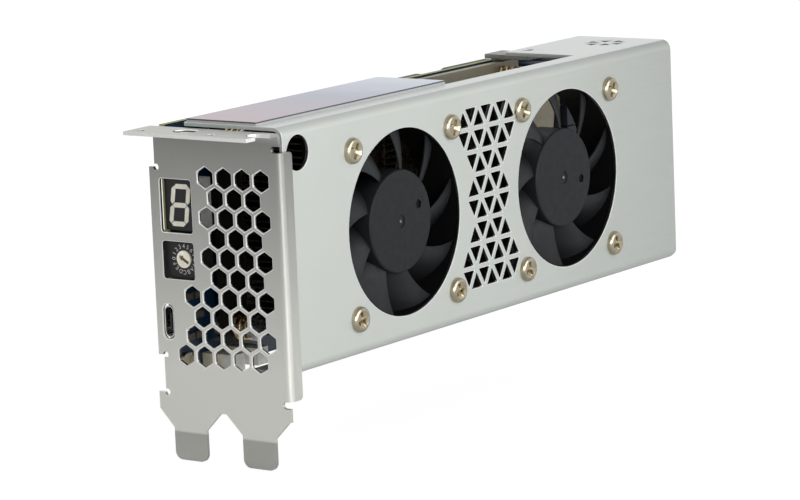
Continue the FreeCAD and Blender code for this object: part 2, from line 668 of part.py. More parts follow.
def cover_openings():
    """Fan openings, screw holes, the round hole, the cut in the top and the vent fields."""
    front = ("-cover_face - 1", "-cover_face + cover_sheet + 1")
    tools = []
    for fan in range(2):
        along = f"fan_first + {fan} * fan_pitch"
        tools.append(rod(f"fan_opening_{fan}", "y", "fan_opening", front, along, "fan_height"))
        for number, place in enumerate(fan_corners(along)):
            tools.append(rod(f"cover_screw_hole_{fan}_{number}", "y", "fan_screw_radius + screw_clearance",
                             front, *place))
    tools.append(rod("peep_hole", "y", "peep_radius", front, "peep_along", "peep_height"))
    above = ("cover_top - cover_sheet - 1", "cover_top + 1")
    tools.append(rod("stay_hole", "z", "stay_hole_radius", above, "stay_hole_along", "stay_hole_side"))
    tools.append(block("top_cut", ("top_cut_start", "top_cut_end"),
                       ("-cover_face + top_cut_depth", "top_flange_edge + 1"), above))
    tools.append(corner_wedge(front))
    return tools + lattice_between_fans() + lattice_in_end_tab()


def corner_wedge(front):
    """A prism of three sides that chamfers the lower right corner of the cover's front."""
    body = doc.addObject("PartDesign::Body", "corner_wedge")
    shape = outline(body, "corner_wedge_outline", "XZ_Plane", [
        ("cover_end - corner_cut_width", "cover_bottom - 0.01"),
        ("cover_end + 0.01", "cover_bottom - 0.01"),
        ("cover_end + 0.01", "cover_bottom + corner_cut_height"),
    ], offset=f"-({front[1]} + cover_bend)")
    pad(body, shape, f"({front[1]}) - ({front[0]}) + cover_bend")
    return body


def fan_corners(along):
    """The four screw places round a fan, as formulas."""
    return [(f"{along} {a} fan_hole_pitch / 2", f"fan_height {b} fan_hole_pitch / 2")
            for a in "+-" for b in "+-"]


def triangle(name, axis, reach, along, across, point_up):
    """A triangular prism along Y or Z; its place across the axis is given in numbers."""
    prism = doc.addObject("Part::Prism", name)
    prism.Polygon = 3
    turned = Rotation(Vector(0, 0, 1), 90 if point_up else -90)
    place = Vector(along, across, 0)
    start = reach[0]
    if axis == "y":
        turned = Rotation(Vector(1, 0, 0), 90).multiply(turned)
        place = Vector(along, 0, across)
        start = reach[1]
    prism.Placement = Placement(place, turned)
    bind(prism, Circumradius="lattice_side / sqrt(3)", Height=f"({reach[1]}) - ({reach[0]})")
    bind(prism, **{f"Placement__Base__{axis}": start})
    return prism


def lattice_places(half_width, low, high, allowed):
    """Centres (across, up, point_up) of a lattice of triangles, up and down by turns.

    across is counted from the field's middle; allowed(across, up) says which are kept.
    """
    side = size("lattice_side") + size("lattice_web") * math.sqrt(3)
    row_height = side * math.sqrt(3) / 2
    rows = int((high - low) / row_height)
    start = (low + high - rows * row_height) / 2
    steps = int(half_width / side) + 1
    places = []
    for row in range(rows):
        for step in range(-2 * steps, 2 * steps + 1):
            across = step * side / 2
            point_up = (row + step) % 2 == 0
            up = start + (row + (1 / 3 if point_up else 2 / 3)) * row_height
            if allowed(across, up):
                places.append((across, up, point_up))
    return places


def lattice_between_fans():
    """The hourglass field of triangular vents in the front wall, between the fans."""
    middle = size("fan_first") + size("fan_pitch") / 2
    keep_off = size("fan_opening") + size("lattice_margin") + size("lattice_side") / 2

    def allowed(across, up):
        aside = size("fan_pitch") / 2 - abs(across)
        return (math.hypot(aside, up - size("fan_height")) > keep_off
                and abs(across) < size("lattice_half"))

    tools = []
    front = ("-cover_face - 1", "-cover_face + cover_sheet + 1")
    places = lattice_places(size("lattice_half"), size("lattice_low"), size("lattice_high"), allowed)
    for number, (across, up, point_up) in enumerate(places):
        tools.append(triangle(f"front_vent_{number}", "y", front, middle + across, up, point_up))
    return tools


def lattice_in_end_tab():
    """The same triangles in the end tab of the cover's top."""
    middle = (size("end_field_start") + size("end_field_end")) / 2
    half = (size("end_field_end") - size("end_field_start")) / 2

    def allowed(across, up):
        return abs(across) < half - size("lattice_side") / 2

    tools = []
    above = ("cover_top - cover_sheet - 1", "cover_top + 1")
    places = lattice_places(half, size("end_field_front"), size("end_field_back"), allowed)
    for number, (across, up, point_up) in enumerate(places):
        tools.append(triangle(f"end_vent_{number}", "z", above, middle + across, up, point_up))
    return tools

# ---------------------------------------------------------------- fans

def fan_along(fan):
    """Formula for a fan's place along the card."""
    return f"fan_first + {fan} * fan_pitch"


FRAME_FRONT = "-cover_face + cover_sheet"
FRAME_BACK = "-cover_face + cover_sheet + fan_depth"
HUB_FRONT = "-cover_face + hub_recess"
SNUG = "0.02"


def ring(name, outer, inner, span, place):
    """A plain round ring along Y."""
    hole = rod(f"{name}_hole", "y", inner, span, *place)
    return cut(name, rod(f"{name}_round", "y", outer, span, *place), [hole])


def make_fan_frame(fan):
    """A square frame with a round bore, a motor base on three struts and a bearing tube."""
    along = fan_along(fan)
    body = doc.addObject("PartDesign::Body", f"frame_square_{fan}")
    square = rectangle(body, f"frame_outline_{fan}", "XZ_Plane",
                       (f"{along} - fan_square / 2", f"{along} + fan_square / 2"),
                       ("fan_height - fan_square / 2", "fan_height + fan_square / 2"),
                       offset=f"-({FRAME_BACK})")
    pad(body, square, "fan_depth")
    centre = size("fan_first") + fan * size("fan_pitch")
    half = size("fan_square") / 2
    round_edges(body, f"frame_corners_{fan}", "fan_corner",
                [("y", {"x": centre + a * half, "z": size("fan_height") + b * half})
                 for a in (1, -1) for b in (1, -1)])
    depth = (f"{FRAME_FRONT} - 1", f"{FRAME_BACK} + 1")
    holes = [rod(f"frame_bore_{fan}", "y", "fan_bore", depth, along, "fan_height")]
    for number, place in enumerate(fan_corners(along)):
        holes.append(rod(f"frame_hole_{fan}_{number}", "y", f"fan_screw_radius + {SNUG}", depth, *place))
    ring = cut(f"frame_ring_{fan}", body, holes)
    base_span = (f"{FRAME_BACK} - strut_depth", FRAME_BACK)
    pieces = [ring, rod(f"motor_base_{fan}", "y", "hub_radius - 1", base_span, along, "fan_height"),
              rod(f"bearing_tube_{fan}", "y", "bearing_wall_outer",
                  (f"{HUB_FRONT} + hub_wall + hub_boss + hub_clearance", FRAME_BACK), along, "fan_height")]
    for number, angle in enumerate((100, 220, 340)):
        pieces.append(strut(f"strut_{fan}_{number}", along, angle))
    whole = join(f"frame_whole_{fan}", pieces)
    bore = rod(f"bearing_seat_{fan}", "y", "bearing_radius",
               (f"{HUB_FRONT}", f"{FRAME_BACK} - strut_depth / 2"), along, "fan_height")
    return cut(f"fan_frame_{fan + 1}_cut", whole, [bore])


def strut(name, along, angle):
    """A flat strut from the motor base to the frame, turned about the fan's axis."""
    box = doc.addObject("Part::Box", name)
    box.Placement = Placement(Vector(), Rotation(Vector(0, -1, 0), angle))
    bind(box, Length="fan_bore - hub_radius + 3", Width="strut_depth", Height="strut_width",
         Placement__Base__x=f"{along} + (hub_radius - 2) * cos({angle})",
         Placement__Base__y=f"{FRAME_BACK} - strut_depth",
         Placement__Base__z=f"fan_height + (hub_radius - 2) * sin({angle})")
    return box


def blade_section(share, root_angle):
    """The corners of a cambered section, in order round it, on a cylinder about the Y axis.

    share runs from 0 at the root, inside the hub's wall, to 1 at the tip.
    """
    root = size("hub_radius") - size("hub_wall") / 2
    distance = root + share * (size("blade_tip") - root)
    lead = root_angle + size("blade_sweep") * share
    half_sheet = size("blade_sheet") / 2
    sides = []
    for sign in (1, -1):
        side = []
        for step in range(CHORD_STEPS + 1):
            along = step / CHORD_STEPS
            arch = math.sin(math.pi * along)
            angle = math.radians(lead - size("blade_turn") * along)
            depth = (half_sheet + size("blade_depth") * along - size("blade_camber") * arch
                     + sign * half_sheet * (EDGE_SHARE + (1 - EDGE_SHARE) * arch))
            side.append(Vector(distance * math.cos(angle), depth, distance * math.sin(angle)))
        sides.append(side)
    return sides[0] + sides[1][::-1]


def faceted(rings):
    """A solid of flat facets through rings of equally many corners, closed at both ends."""
    count = len(rings[0])
    corners = []
    for inner, outer in zip(rings, rings[1:]):
        for i in range(count):
            j = (i + 1) % count
            corners.append((inner[i], inner[j], outer[j]))
            corners.append((inner[i], outer[j], outer[i]))
    for ring in (rings[0], rings[-1]):
        for i in range(count // 2 - 1):
            j = count - 1 - i
            corners.append((ring[i], ring[i + 1], ring[j - 1]))
            corners.append((ring[i], ring[j - 1], ring[j]))
    facets = [Part.Face(Part.makePolygon([*three, three[0]])) for three in corners]
    solid = Part.makeSolid(Part.makeShell(facets))
    if solid.Volume < 0:
        solid.reverse()
    return solid


def blade_shape(root_angle):
    """One swept blade round the Y axis, a solid of flat facets between its sections."""
    return faceted([blade_section(step / SPAN_STEPS, root_angle) for step in range(SPAN_STEPS + 1)])


def make_rotor(fan, turned):
    """The hub, a cup turned in one piece, with nine blades on its side, turned about its shaft."""
    body = doc.addObject("PartDesign::Body", f"hub_{fan}")
    profile = outline(body, f"hub_profile_{fan}", "XY_Plane", [
        ("0", HUB_FRONT),
        ("hub_radius", HUB_FRONT),
        ("hub_radius", f"{HUB_FRONT} + hub_depth"),
        ("hub_radius - hub_wall", f"{HUB_FRONT} + hub_depth"),
        ("hub_radius - hub_wall", f"{HUB_FRONT} + hub_wall"),
        ("2 * shaft_radius", f"{HUB_FRONT} + hub_wall"),
        ("2 * shaft_radius", f"{HUB_FRONT} + hub_wall + hub_boss"),
        ("0", f"{HUB_FRONT} + hub_wall + hub_boss"),
    ])
    turn(body, profile, "V_Axis")
    front = -size("cover_face") + size("hub_recess")
    edge_feature = body.newObject("PartDesign::Fillet", f"hub_rim_{fan}")
    base = body.Group[-2]
    rims = [f"Edge{number}" for number, edge in enumerate(base.Shape.Edges, start=1)
            if edge.Curve.TypeId == "Part::GeomCircle"
            and abs(edge.Curve.Radius - size("hub_radius")) < 0.01
            and abs(edge.Curve.Center.y - front) < 0.01]
    edge_feature.Base = (base, rims)
    bind(edge_feature, Radius="hub_edge")
    body.Tip = edge_feature
    blades = []
    for number in range(BLADES):
        blade = doc.addObject("Part::Feature", f"blade_{fan}_{number}")
        blade.Shape = blade_shape(FIRST_BLADE + 360 / BLADES * number)
        bind(blade, Placement__Base__y=f"{HUB_FRONT} + blade_front_step")
        blades.append(blade)
    rotor = join(f"rotor_{fan}", [body] + blades)
    dimple = rod(f"hub_dimple_{fan}", "y", "shaft_radius * 1.6",
                 (f"{HUB_FRONT} - 1", f"{HUB_FRONT} + hub_dimple"), "0", "0")
    mark = doc.addObject("Part::Prism", f"hub_mark_{fan}")
    mark.Polygon = 5
    mark.Placement = Placement(Vector(), Rotation(Vector(1, 0, 0), 90))
    bind(mark, Circumradius="shaft_radius * 1.3", Height="1 + hub_mark_depth",
         Placement__Base__x=f"hub_radius * 0.64 * cos({MARK_ANGLE})",
         Placement__Base__y=f"{HUB_FRONT} + hub_mark_depth",
         Placement__Base__z=f"hub_radius * 0.64 * sin({MARK_ANGLE})")
    whole = cut(f"rotor_cut_{fan}", rotor, [dimple, mark])
    whole.Placement = Placement(Vector(), Rotation(Vector(0, -1, 0), turned))
    bind(whole, Placement__Base__x=fan_along(fan), Placement__Base__z="fan_height")
    return whole


FIRST_BLADE = -5
MARK_ANGLE = 15
BLADES = 9
CHORD_STEPS = 4
SPAN_STEPS = 3
EDGE_SHARE = 0.45
TURN_STEPS = 12


def make_fans():
    """Both fans, piece by piece."""
    for fan, turned in ((0, 8), (1, -25)):
        number = fan + 1
        along = fan_along(fan)
        place = (along, "fan_height")
        hub_back = f"{HUB_FRONT} + hub_depth"
        inner = f"{HUB_FRONT} + hub_wall"
        base_front = f"{FRAME_BACK} - strut_depth"
        keep(make_fan_frame(fan), f"fan_frame_{number}")
        keep(make_rotor(fan, turned), f"fan_rotor_{number}")
        shaft_span = (f"{inner} + hub_boss", f"{base_front} + strut_depth / 2 - 0.3")
        keep(rod(f"shaft_{fan}", "y", "shaft_radius", shaft_span, *place), f"fan_shaft_{number}")
        magnet_span = (inner, f"{hub_back} - 0.6")
        keep(ring(f"magnet_{fan}", f"hub_radius - hub_wall - {SNUG}", "hub_radius - hub_wall - magnet_wall",
                  magnet_span, place), f"fan_magnet_{number}")
        bearing_span = (f"{inner} + hub_boss + hub_clearance", base_front)
        keep(ring(f"bearing_{fan}", f"bearing_radius - {SNUG}", "shaft_radius + shaft_play",
                  bearing_span, place), f"fan_bearing_{number}")
        board_span = (f"{base_front} - motor_board_sheet", base_front)
        keep(ring(f"motor_board_{fan}", "hub_radius * 0.8", f"bearing_wall_outer + {SNUG}",
                  board_span, place), f"fan_motor_board_{number}")
        stator_span = (f"{inner} + hub_boss + hub_clearance", f"{base_front} - motor_board_sheet")
        keep(make_stator(fan, stator_span), f"fan_stator_{number}")
        screws = []
        for corner, (first, second) in enumerate(fan_corners(along)):
            head = rod(f"fan_head_{fan}_{corner}", "y", "fan_head_radius",
                       ("-cover_face - fan_head_height", "-cover_face"), first, second)
            shank = rod(f"fan_shank_{fan}_{corner}", "y", "fan_screw_radius",
                        ("-cover_face", "-cover_face + fan_screw_length"), first, second)
            screws.append(join(f"fan_screw_{fan}_{corner}", [head, shank]))
        FAN_SCREWS.extend(screws)
    keep(gather("fan_screw_group", FAN_SCREWS), "fan_screws")


FAN_SCREWS = []


def make_stator(fan, span):
    """The laminated stator round the bearing tube, parted into four poles."""
    along = fan_along(fan)
    outer = "hub_radius - hub_wall - magnet_wall - motor_gap"
    whole = rod(f"stator_outer_{fan}", "y", outer, span, along, "fan_height")
    tools = [rod(f"stator_bore_{fan}", "y", f"bearing_wall_outer + {SNUG}", span, along, "fan_height")]
    for number in range(4):
        angle = 45 + 90 * number
        gap = doc.addObject("Part::Box", f"stator_gap_{fan}_{number}")
        gap.Placement = Placement(Vector(), Rotation(Vector(0, -1, 0), angle))
        bind(gap, Length="hub_radius", Width=f"({span[1]}) - ({span[0]})", Height="stator_gap",
             Placement__Base__x=f"{along} + (bearing_wall_outer + magnet_wall) * cos({angle})",
             Placement__Base__y=span[0],
             Placement__Base__z=f"fan_height + (bearing_wall_outer + magnet_wall) * sin({angle})")
        tools.append(gap)
    return cut(f"stator_{fan}", whole, tools)


# ---------------------------------------------------------------- the circuit board

BOARD_BACK = "board_front + board_sheet"


def make_board():
    """The board with its stepped upper edge and its keyed edge connector."""
    body = doc.addObject("PartDesign::Body", "board_body")
    key_left = "connector_key - connector_key_width / 2"
    key_right = "connector_key + connector_key_width / 2"
    shape = outline(body, "board_outline", "XZ_Plane", [
        ("board_start", "board_bottom"),
        ("board_start", "board_top"),
        ("board_step_start", "board_top"),
        ("board_step_start + board_step", "board_top - board_step"),
        ("board_end", "board_top - board_step"),
        ("board_end", "board_bottom"),
        ("connector_end", "board_bottom"),
        ("connector_end", "connector_bottom"),
        (key_right, "connector_bottom"),
        (key_right, "board_bottom"),
        (key_left, "board_bottom"),
        (key_left, "connector_bottom"),
        ("connector_start", "connector_bottom"),
        ("connector_start", "board_bottom"),
    ], offset=f"-({BOARD_BACK})")
    pad(body, shape, "board_sheet")
    through = ("board_front - 1", f"{BOARD_BACK} + 1")
    holes = []
    for number, place in enumerate(sprung_places()):
        holes.append(rod(f"nut_seat_{number}", "y", f"nut_radius + {SNUG}", through, *place))
    for number, place in enumerate(ear_screw_places()):
        holes.append(rod(f"ear_screw_hole_{number}", "y", "ear_screw_radius + screw_clearance",
                         through, *place))
    return cut("board_cut", body, holes)


def ear_screw_places():
    """Where the screws go through the bracket's ears and the board."""
    along = "ear_reach - ear_screw_inset"
    return [(along, "(ear_foot_low + ear_foot_high) / 2 + ear_screw_lift"),
            (along, "(ear_top_low + ear_top_high) / 2")]


def make_contacts():
    """The gold contacts on both faces of the edge connector."""
    pitch = size("contact_pitch")
    width = size("contact_width")
    thick = size("contact_sheet")
    low = size("connector_bottom") + 0.5
    key = size("connector_key")
    key_half = size("connector_key_width") / 2
    pads = []
    for left, right in ((size("connector_start"), key - key_half), (key + key_half, size("connector_end"))):
        count = int((right - left) / pitch - 0.3)
        start = (left + right - (count - 1) * pitch) / 2
        for number in range(count):
            for side in (size("board_front") - thick, size("board_front") + size("board_sheet")):
                corner = Vector(start + number * pitch - width / 2, side, low)
                pads.append(Part.makeBox(width, thick, size("contact_length"), corner))
    contacts = doc.addObject("Part::Feature", "contact_pads")
    contacts.Shape = Part.makeCompound(pads)
    return contacts


def make_rear_bars():
    """Three bars with round ends, behind the board and level with its upper edge."""
    bars = []
    top = "board_top - board_step"
    for number, start in enumerate(("bar_first", "bar_second", "bar_third")):
        centre = f"{start} + bar_length / 2"
        bars.append(obround(f"rear_bar_{number}", "y", "bar_height", "bar_length",
                            (BOARD_BACK, f"{BOARD_BACK} + bar_depth"),
                            centre, f"{top} - bar_height / 2", upright=False))
    return gather("rear_bar_group", bars)


# ---------------------------------------------------------------- the heat sink

PLATE_BACK = "board_front - plate_standoff"
PLATE_FRONT = "board_front - plate_standoff - plate_sheet"


def sprung_places():
    """Where the sprung screws go through the plate and the board."""
    return [(along, height) for along in ("plate_start + sprung_side", "sprung_last")
            for height in ("plate_bottom + sprung_side", "plate_top - sprung_side")]


def make_plate():
    """The plate that carries the fins; its lower right part reaches further."""
    body = doc.addObject("PartDesign::Body", "plate_body")
    shape = outline(body, "plate_outline", "XZ_Plane", [
        ("plate_start", "plate_bottom"),
        ("plate_start", "plate_top"),
        ("plate_end", "plate_top"),
        ("plate_end", "plate_tail_top"),
        ("plate_tail_end", "plate_tail_top"),
        ("plate_tail_end", "plate_bottom"),
    ], offset=f"-({PLATE_BACK})")
    pad(body, shape, "plate_sheet")
    span = (f"{PLATE_FRONT} - 1", f"{PLATE_BACK} + 1")
    holes = [rod(f"plate_hole_{number}", "y", "sprung_radius + screw_clearance", span, *place)
             for number, place in enumerate(sprung_places())]
    return cut("plate_cut", body, holes)


def make_fins():
    """Horizontal fins standing on the plate, linked by columns of folded tabs."""
    front = f"{FRAME_BACK} + fin_gap"
    back = size("board_front") - size("plate_standoff") - size("plate_sheet")
    near = -size("cover_face") + size("cover_sheet") + size("fan_depth") + size("fin_gap")
    length = size("fin_end") - size("fin_start")
    thick = size("fin_sheet")
    room = size("plate_top") - size("fin_low")
    count = int(room / size("fin_pitch"))
    fins = []
    for number in range(count):
        low = size("fin_low") + number * size("fin_pitch")
        fins.append(Part.makeBox(length, back - near, thick, Vector(size("fin_start"), near, low)))
    rows = doc.addObject("Part::Feature", "fin_rows")
    rows.Shape = Part.makeCompound(fins)
    top = size("fin_low") + (count - 1) * size("fin_pitch") + thick
    links = [block("fin_feet", ("fin_start", "fin_end"), (f"{PLATE_FRONT} - fin_sheet", PLATE_FRONT),
                   ("fin_low", str(top)))]
    for number, start in enumerate(("fin_band_first", "fin_band_first + fin_band_width * 1.6",
                                    "fin_end - fin_band_width")):
        links.append(block(f"fin_band_{number}", (start, f"{start} + fin_band_width"),
                           (front, f"{front} + fin_sheet"), ("fin_low", str(top))))
    return join("fin_stack", [rows] + links)


def make_springs():
    """A coil spring under each sprung screw's head: one wire of six flat sides, wound round."""
    shapes = []
    radius = size("spring_inner") + size("spring_wire")
    wire = size("spring_wire")
    rise = size("spring_length") - 2 * wire
    turns = rise / size("spring_pitch")
    stations = int(turns * TURN_STEPS)
    front = size("board_front") - size("plate_standoff") - size("plate_sheet")
    for along, height in sprung_numbers():
        rings = []
        for station in range(stations + 1):
            angle = 2 * math.pi * station / TURN_STEPS
            outward = Vector(math.cos(angle), 0, math.sin(angle))
            centre = Vector(along, front - wire - rise * station / stations, height) + outward * radius
            rings.append([centre + outward * wire * math.cos(k * math.pi / 3)
                          + Vector(0, wire * math.sin(k * math.pi / 3), 0) for k in range(6)])
        shapes.append(faceted(rings))
    springs = doc.addObject("Part::Feature", "spring_coils")
    springs.Shape = Part.makeCompound(shapes)
    return springs


def sprung_numbers():
    """The sprung screws' places as numbers."""
    lefts = (size("plate_start") + size("sprung_side"), size("sprung_last"))
    heights = (size("plate_bottom") + size("sprung_side"), size("plate_top") - size("sprung_side"))
    return [(left, height) for left in lefts for height in heights]


def make_sprung_screws():
    """Shouldered screws through springs and plate into nuts that are pressed into the board."""
    screws = []
    nuts = []
    head_back = f"{PLATE_FRONT} - spring_length"
    for number, place in enumerate(sprung_places()):
        head = rod(f"sprung_head_{number}", "y", "sprung_head_radius",
                   (f"{head_back} - sprung_head_height", head_back), *place)
        shank = rod(f"sprung_shank_{number}", "y", "sprung_radius", (head_back, BOARD_BACK), *place)
        screws.append(join(f"sprung_screw_{number}", [head, shank]))
        span = ("board_front - nut_lip", BOARD_BACK)
        barrel = rod(f"nut_barrel_{number}", "y", "nut_radius", span, *place)
        hole = rod(f"nut_hole_{number}", "y", f"sprung_radius + {SNUG}", span, *place)
        nuts.append(cut(f"nut_{number}", barrel, [hole]))
    return gather("sprung_screw_group", screws), gather("nut_group", nuts)


# ---------------------------------------------------------------- what sits on the board

def make_processor():
    """The processor's carrier and the metal lid that meets the plate."""
    along = "processor_along"
    half = "processor_side / 2"
    inner = f"({half} - lid_inset)"
    carrier = block("carrier", (f"{along} - {half}", f"{along} + {half}"),
                    ("board_front - carrier_sheet", "board_front"),
                    (f"fan_height - {half}", f"fan_height + {half}"))
    lid = block("lid", (f"{along} - {inner}", f"{along} + {inner}"),
                (PLATE_BACK, "board_front - carrier_sheet"),
                (f"fan_height - {inner}", f"fan_height + {inner}"))
    return carrier, lid


def make_memory():
    """Memory chips on both sides of the processor, each with a pad up to the plate."""
    chips = []
    pads = []
    aside = "(processor_side / 2 + memory_gap + memory_short / 2)"
    for sign in "+-":
        for row in range(3):
            across = f"processor_along {sign} {aside}"
            up = f"fan_height + {row - 1} * memory_pitch"
            spans = ((f"{across} - memory_short / 2", f"{across} + memory_short / 2"),
                     (f"{up} - memory_long / 2", f"{up} + memory_long / 2"))
            name = f"{'right' if sign == '+' else 'left'}_{row}"
            chips.append(block(f"memory_{name}", spans[0],
                               ("board_front - memory_height", "board_front"), spans[1]))
            pads.append(block(f"pad_{name}", spans[0],
                              (PLATE_BACK, "board_front - memory_height"), spans[1]))
    return gather("memory_group", chips), gather("pad_group", pads)


def make_power_stages():
    """A column of power stages left of the processor, on the board."""
    stages = []
    for row in range(5):
        low = f"fan_height + {row - 2} * power_pitch - power_side / 2"
        stages.append(block(f"power_{row}", ("power_along", "power_along + power_side"),
                            ("board_front - power_height", "board_front"),
                            (low, f"{low} + power_side")))
    return gather("power_group", stages)


def make_coils():
    """Inductors at the board's right end: one above the plate's tail and a column beside it."""
    places = [("coil_along", "plate_tail_top + coil_side * 0.3")]
    for row in range(4):
        places.append(("plate_tail_end + coil_gap",
                       f"plate_tail_top - coil_side - {row} * (coil_side + coil_gap)"))
    coils = [block(f"coil_{number}", (start, f"{start} + coil_side"),
                   ("board_front - coil_height", "board_front"), (low, f"{low} + coil_side"))
             for number, (start, low) in enumerate(places)]
    return gather("coil_group", coils)


def make_cans():
    """Round capacitors standing on the board: one near the bracket, others at the right end."""
    cans = []
    places = [("can_left", "can_left_height"), ("can_along", "plate_tail_top + can_rise")]
    for number, place in enumerate(places):
        cans.append(rod(f"can_{number}", "y", "can_radius",
                        ("board_front - can_height", "board_front"), *place))
    return gather("can_group", cans)


def make_small_parts():
    """Small surface-mounted parts beside the plate: at the board's right end and near the bracket."""
    parts = []
    for side, left, low, columns, rows in (
            ("right", "plate_tail_end + chip_small_gap", "plate_bottom + chip_small", 1, 4),
            ("left", "small_left", "small_left_low", 2, 5)):
        for column in range(columns):
            for row in range(rows):
                start = f"{left} + {column} * (chip_small + chip_small_gap / 2)"
                foot = f"{low} + {row} * (chip_small_width + 2 * chip_small_gap)"
                parts.append(block(f"small_{side}_{column}_{row}", (start, f"{start} + chip_small"),
                                   ("board_front - chip_small_height", "board_front"),
                                   (foot, f"{foot} + chip_small_width")))
    return gather("small_group", parts)


def make_stay():
    """An angle that stands on the board and carries the cover's end tab."""
    along = ("stay_hole_along - stay_width / 2", "stay_hole_along + stay_width / 2")
    under = "cover_top - cover_sheet"
    leg = ("sprung_last + nut_radius + stay_nut_gap", along[1])
    foot = block("stay_foot_leg", leg, ("board_front - stay_sheet", "board_front"),
                 ("board_top - board_step - stay_foot", under))
    arm = block("stay_arm", along, ("stay_hole_side - stay_lap", "board_front"),
                (f"{under} - stay_sheet", under))
    hole = rod("stay_thread", "z", "stay_hole_radius - 0.35", (f"{under} - stay_sheet - 1", f"{under} + 1"),
               "stay_hole_along", "stay_hole_side")
    return cut("stay_cut", join("stay_angle", [foot, arm]), [hole])


# ---------------------------------------------------------------- behind the bracket's windows

FACE = "bracket_sheet + face_gap"


def make_display():
    """The display's housing, its black face and the seven segments with their point."""
    side = ("window_board_side - window_width + display_margin", "window_board_side - display_margin")
    up = ("display_low + display_margin", "display_high - display_margin")
    box = block("display_box", (f"{FACE} + display_sheet", f"{FACE} + display_sheet + display_depth"),
                side, up)
    foot = block("display_foot", (f"{FACE} + display_depth / 2", f"{FACE} + display_depth"),
                 (f"{side[1]} - 1", "board_front"), up)
    housing = join("display_house", [box, foot])
    face = block("display_plate", (FACE, f"{FACE} + display_sheet"), side, up)
    return housing, face


def make_digit():
    """Seven slanted segments, as thin plates on the display's face."""
    centre_side = size("digit_side")
    centre_up = (size("display_low") + size("display_high")) / 2
    tall = size("digit_height")
    wide = size("digit_width")
    stroke = size("digit_stroke")
    thick = size("digit_raise")
    front = size("bracket_sheet") + size("face_gap") - thick
    slant = math.tan(math.radians(8))

    def spot(across, up):
        return Vector(front, centre_side - across - slant * up, centre_up + up)

    def segment(points):
        face = Part.Face(Part.makePolygon([spot(*point) for point in points + points[:1]]))
        return face.extrude(Vector(thick, 0, 0))

    half = stroke / 2
    trim = half + size("digit_gap")
    shapes = []
    for up in (-tall / 2 + half, 0, tall / 2 - half):
        end = wide / 2 - trim
        shapes.append(segment([(-end, up), (-end + half, up + half), (end - half, up + half),
                               (end, up), (end - half, up - half), (-end + half, up - half)]))
    for across in (-wide / 2 + half, wide / 2 - half):
        for low in (-tall / 2 + trim, trim - half + 0.1):
            high = low + tall / 2 - trim - 0.1
            shapes.append(segment([(across, low), (across + half, low + half),
                                   (across + half, high - half), (across, high),
                                   (across - half, high - half), (across - half, low + half)]))
    digit = doc.addObject("Part::Feature", "digit_segments")
    digit.Shape = Part.makeCompound(shapes)
    return digit


def make_switch():
    """The rotary code switch: a square body and the slotted rotor that turns in it."""
    centre = ("switch_centre_side", "switch_centre")
    half = "switch_body / 2"
    body = block("switch_square", (FACE, f"{FACE} + switch_depth"),
                 (f"switch_centre_side - {half}", "board_front"),
                 (f"switch_centre - {half}", f"switch_centre + {half}"))
    well = rod("switch_well", "x", "dial_radius + dial_play",
               (f"{FACE} - 1", f"{FACE} + dial_depth + 0.3"), *centre)
    rotor = rod("dial_round", "x", "dial_radius", (f"{FACE} - dial_proud", f"{FACE} + dial_depth"), *centre)
    slot = doc.addObject("Part::Box", "dial_slot_cut")
    head = doc.addObject("Part::Prism", "dial_arrow_head")
    head.Polygon = 3
    arrow = join("dial_arrow", [slot, head])
    bind(slot, Length="1 + dial_slot_depth", Width="dial_slot", Height="dial_radius * 1.5",
         Placement__Base__x="-1", Placement__Base__y="-dial_slot / 2", Placement__Base__z="-dial_radius * 0.8")
    head.Placement = Placement(Vector(), Rotation(Vector(0, 0, 1), Vector(0, -1, 0), Vector(1, 0, 0), "ZXY"))
    bind(head, Circumradius="dial_slot * 1.2", Height="1 + dial_slot_depth",
         Placement__Base__x="-1", Placement__Base__z="dial_radius * 0.4")
    arrow.Placement = Placement(Vector(), Rotation(Vector(1, 0, 0), -size("dial_turn")))
    bind(arrow, Placement__Base__x=f"{FACE} - dial_proud",
         Placement__Base__y=centre[0], Placement__Base__z=centre[1])
    return cut("switch_cut", body, [well]), cut("dial_cut", rotor, [arrow])


def make_socket():
    """The upright socket: a drawn shell with round ends and a closed back, its feet and tongue."""
    wall = "usb_shell_sheet"
    centre = ("usb_centre_side", "usb_centre")
    back = "usb_mouth + usb_shell_depth"
    outside = obround("usb_outside", "x", "usb_shell_width", "usb_shell_height", ("usb_mouth", back),
                      *centre, upright=True)
    hollow = obround("usb_inside", "x", f"(usb_shell_width - 2 * {wall})",
                     f"(usb_shell_height - 2 * {wall})", ("usb_mouth - 1", f"{back} - {wall}"),
                     *centre, upright=True)
    feet = []
    for number, sign in enumerate("+-"):
        foot_top = f"usb_centre {sign} usb_shell_height / 4"
        feet.append(block(f"usb_foot_{number}", ("bracket_sheet + face_gap", back),
                          ("usb_centre_side + usb_shell_width / 4", "board_front"),
                          (f"{foot_top} - {wall}", foot_top)))
    tongue = block("usb_tongue_plate", ("usb_mouth + 0.6", f"{back} - {wall}"),
                   ("usb_centre_side - usb_tongue_sheet / 2", "usb_centre_side + usb_tongue_sheet / 2"),
                   ("usb_centre - usb_shell_height / 4", "usb_centre + usb_shell_height / 4"))
    return cut("usb_cut", join("usb_solid", [outside] + feet), [hollow]), tongue


def make_fan_headers():
    """Two headers on the board and the plugs of the fan leads in front of them."""
    headers = []
    plugs = []
    for number in range(2):
        start = f"header_along + {number} * header_pitch"
        span = (start, f"{start} + header_width")
        up = ("header_height - header_tall / 2", "header_height + header_tall / 2")
        headers.append(block(f"header_{number}", span, ("board_front - header_depth", "board_front"), up))
        plugs.append(block(f"plug_{number}", (f"{start} + 0.4", f"{start} + header_width - 0.4"),
                           ("board_front - header_depth - plug_depth", "board_front - header_depth"), up))
    return gather("header_group", headers), gather("plug_group", plugs)


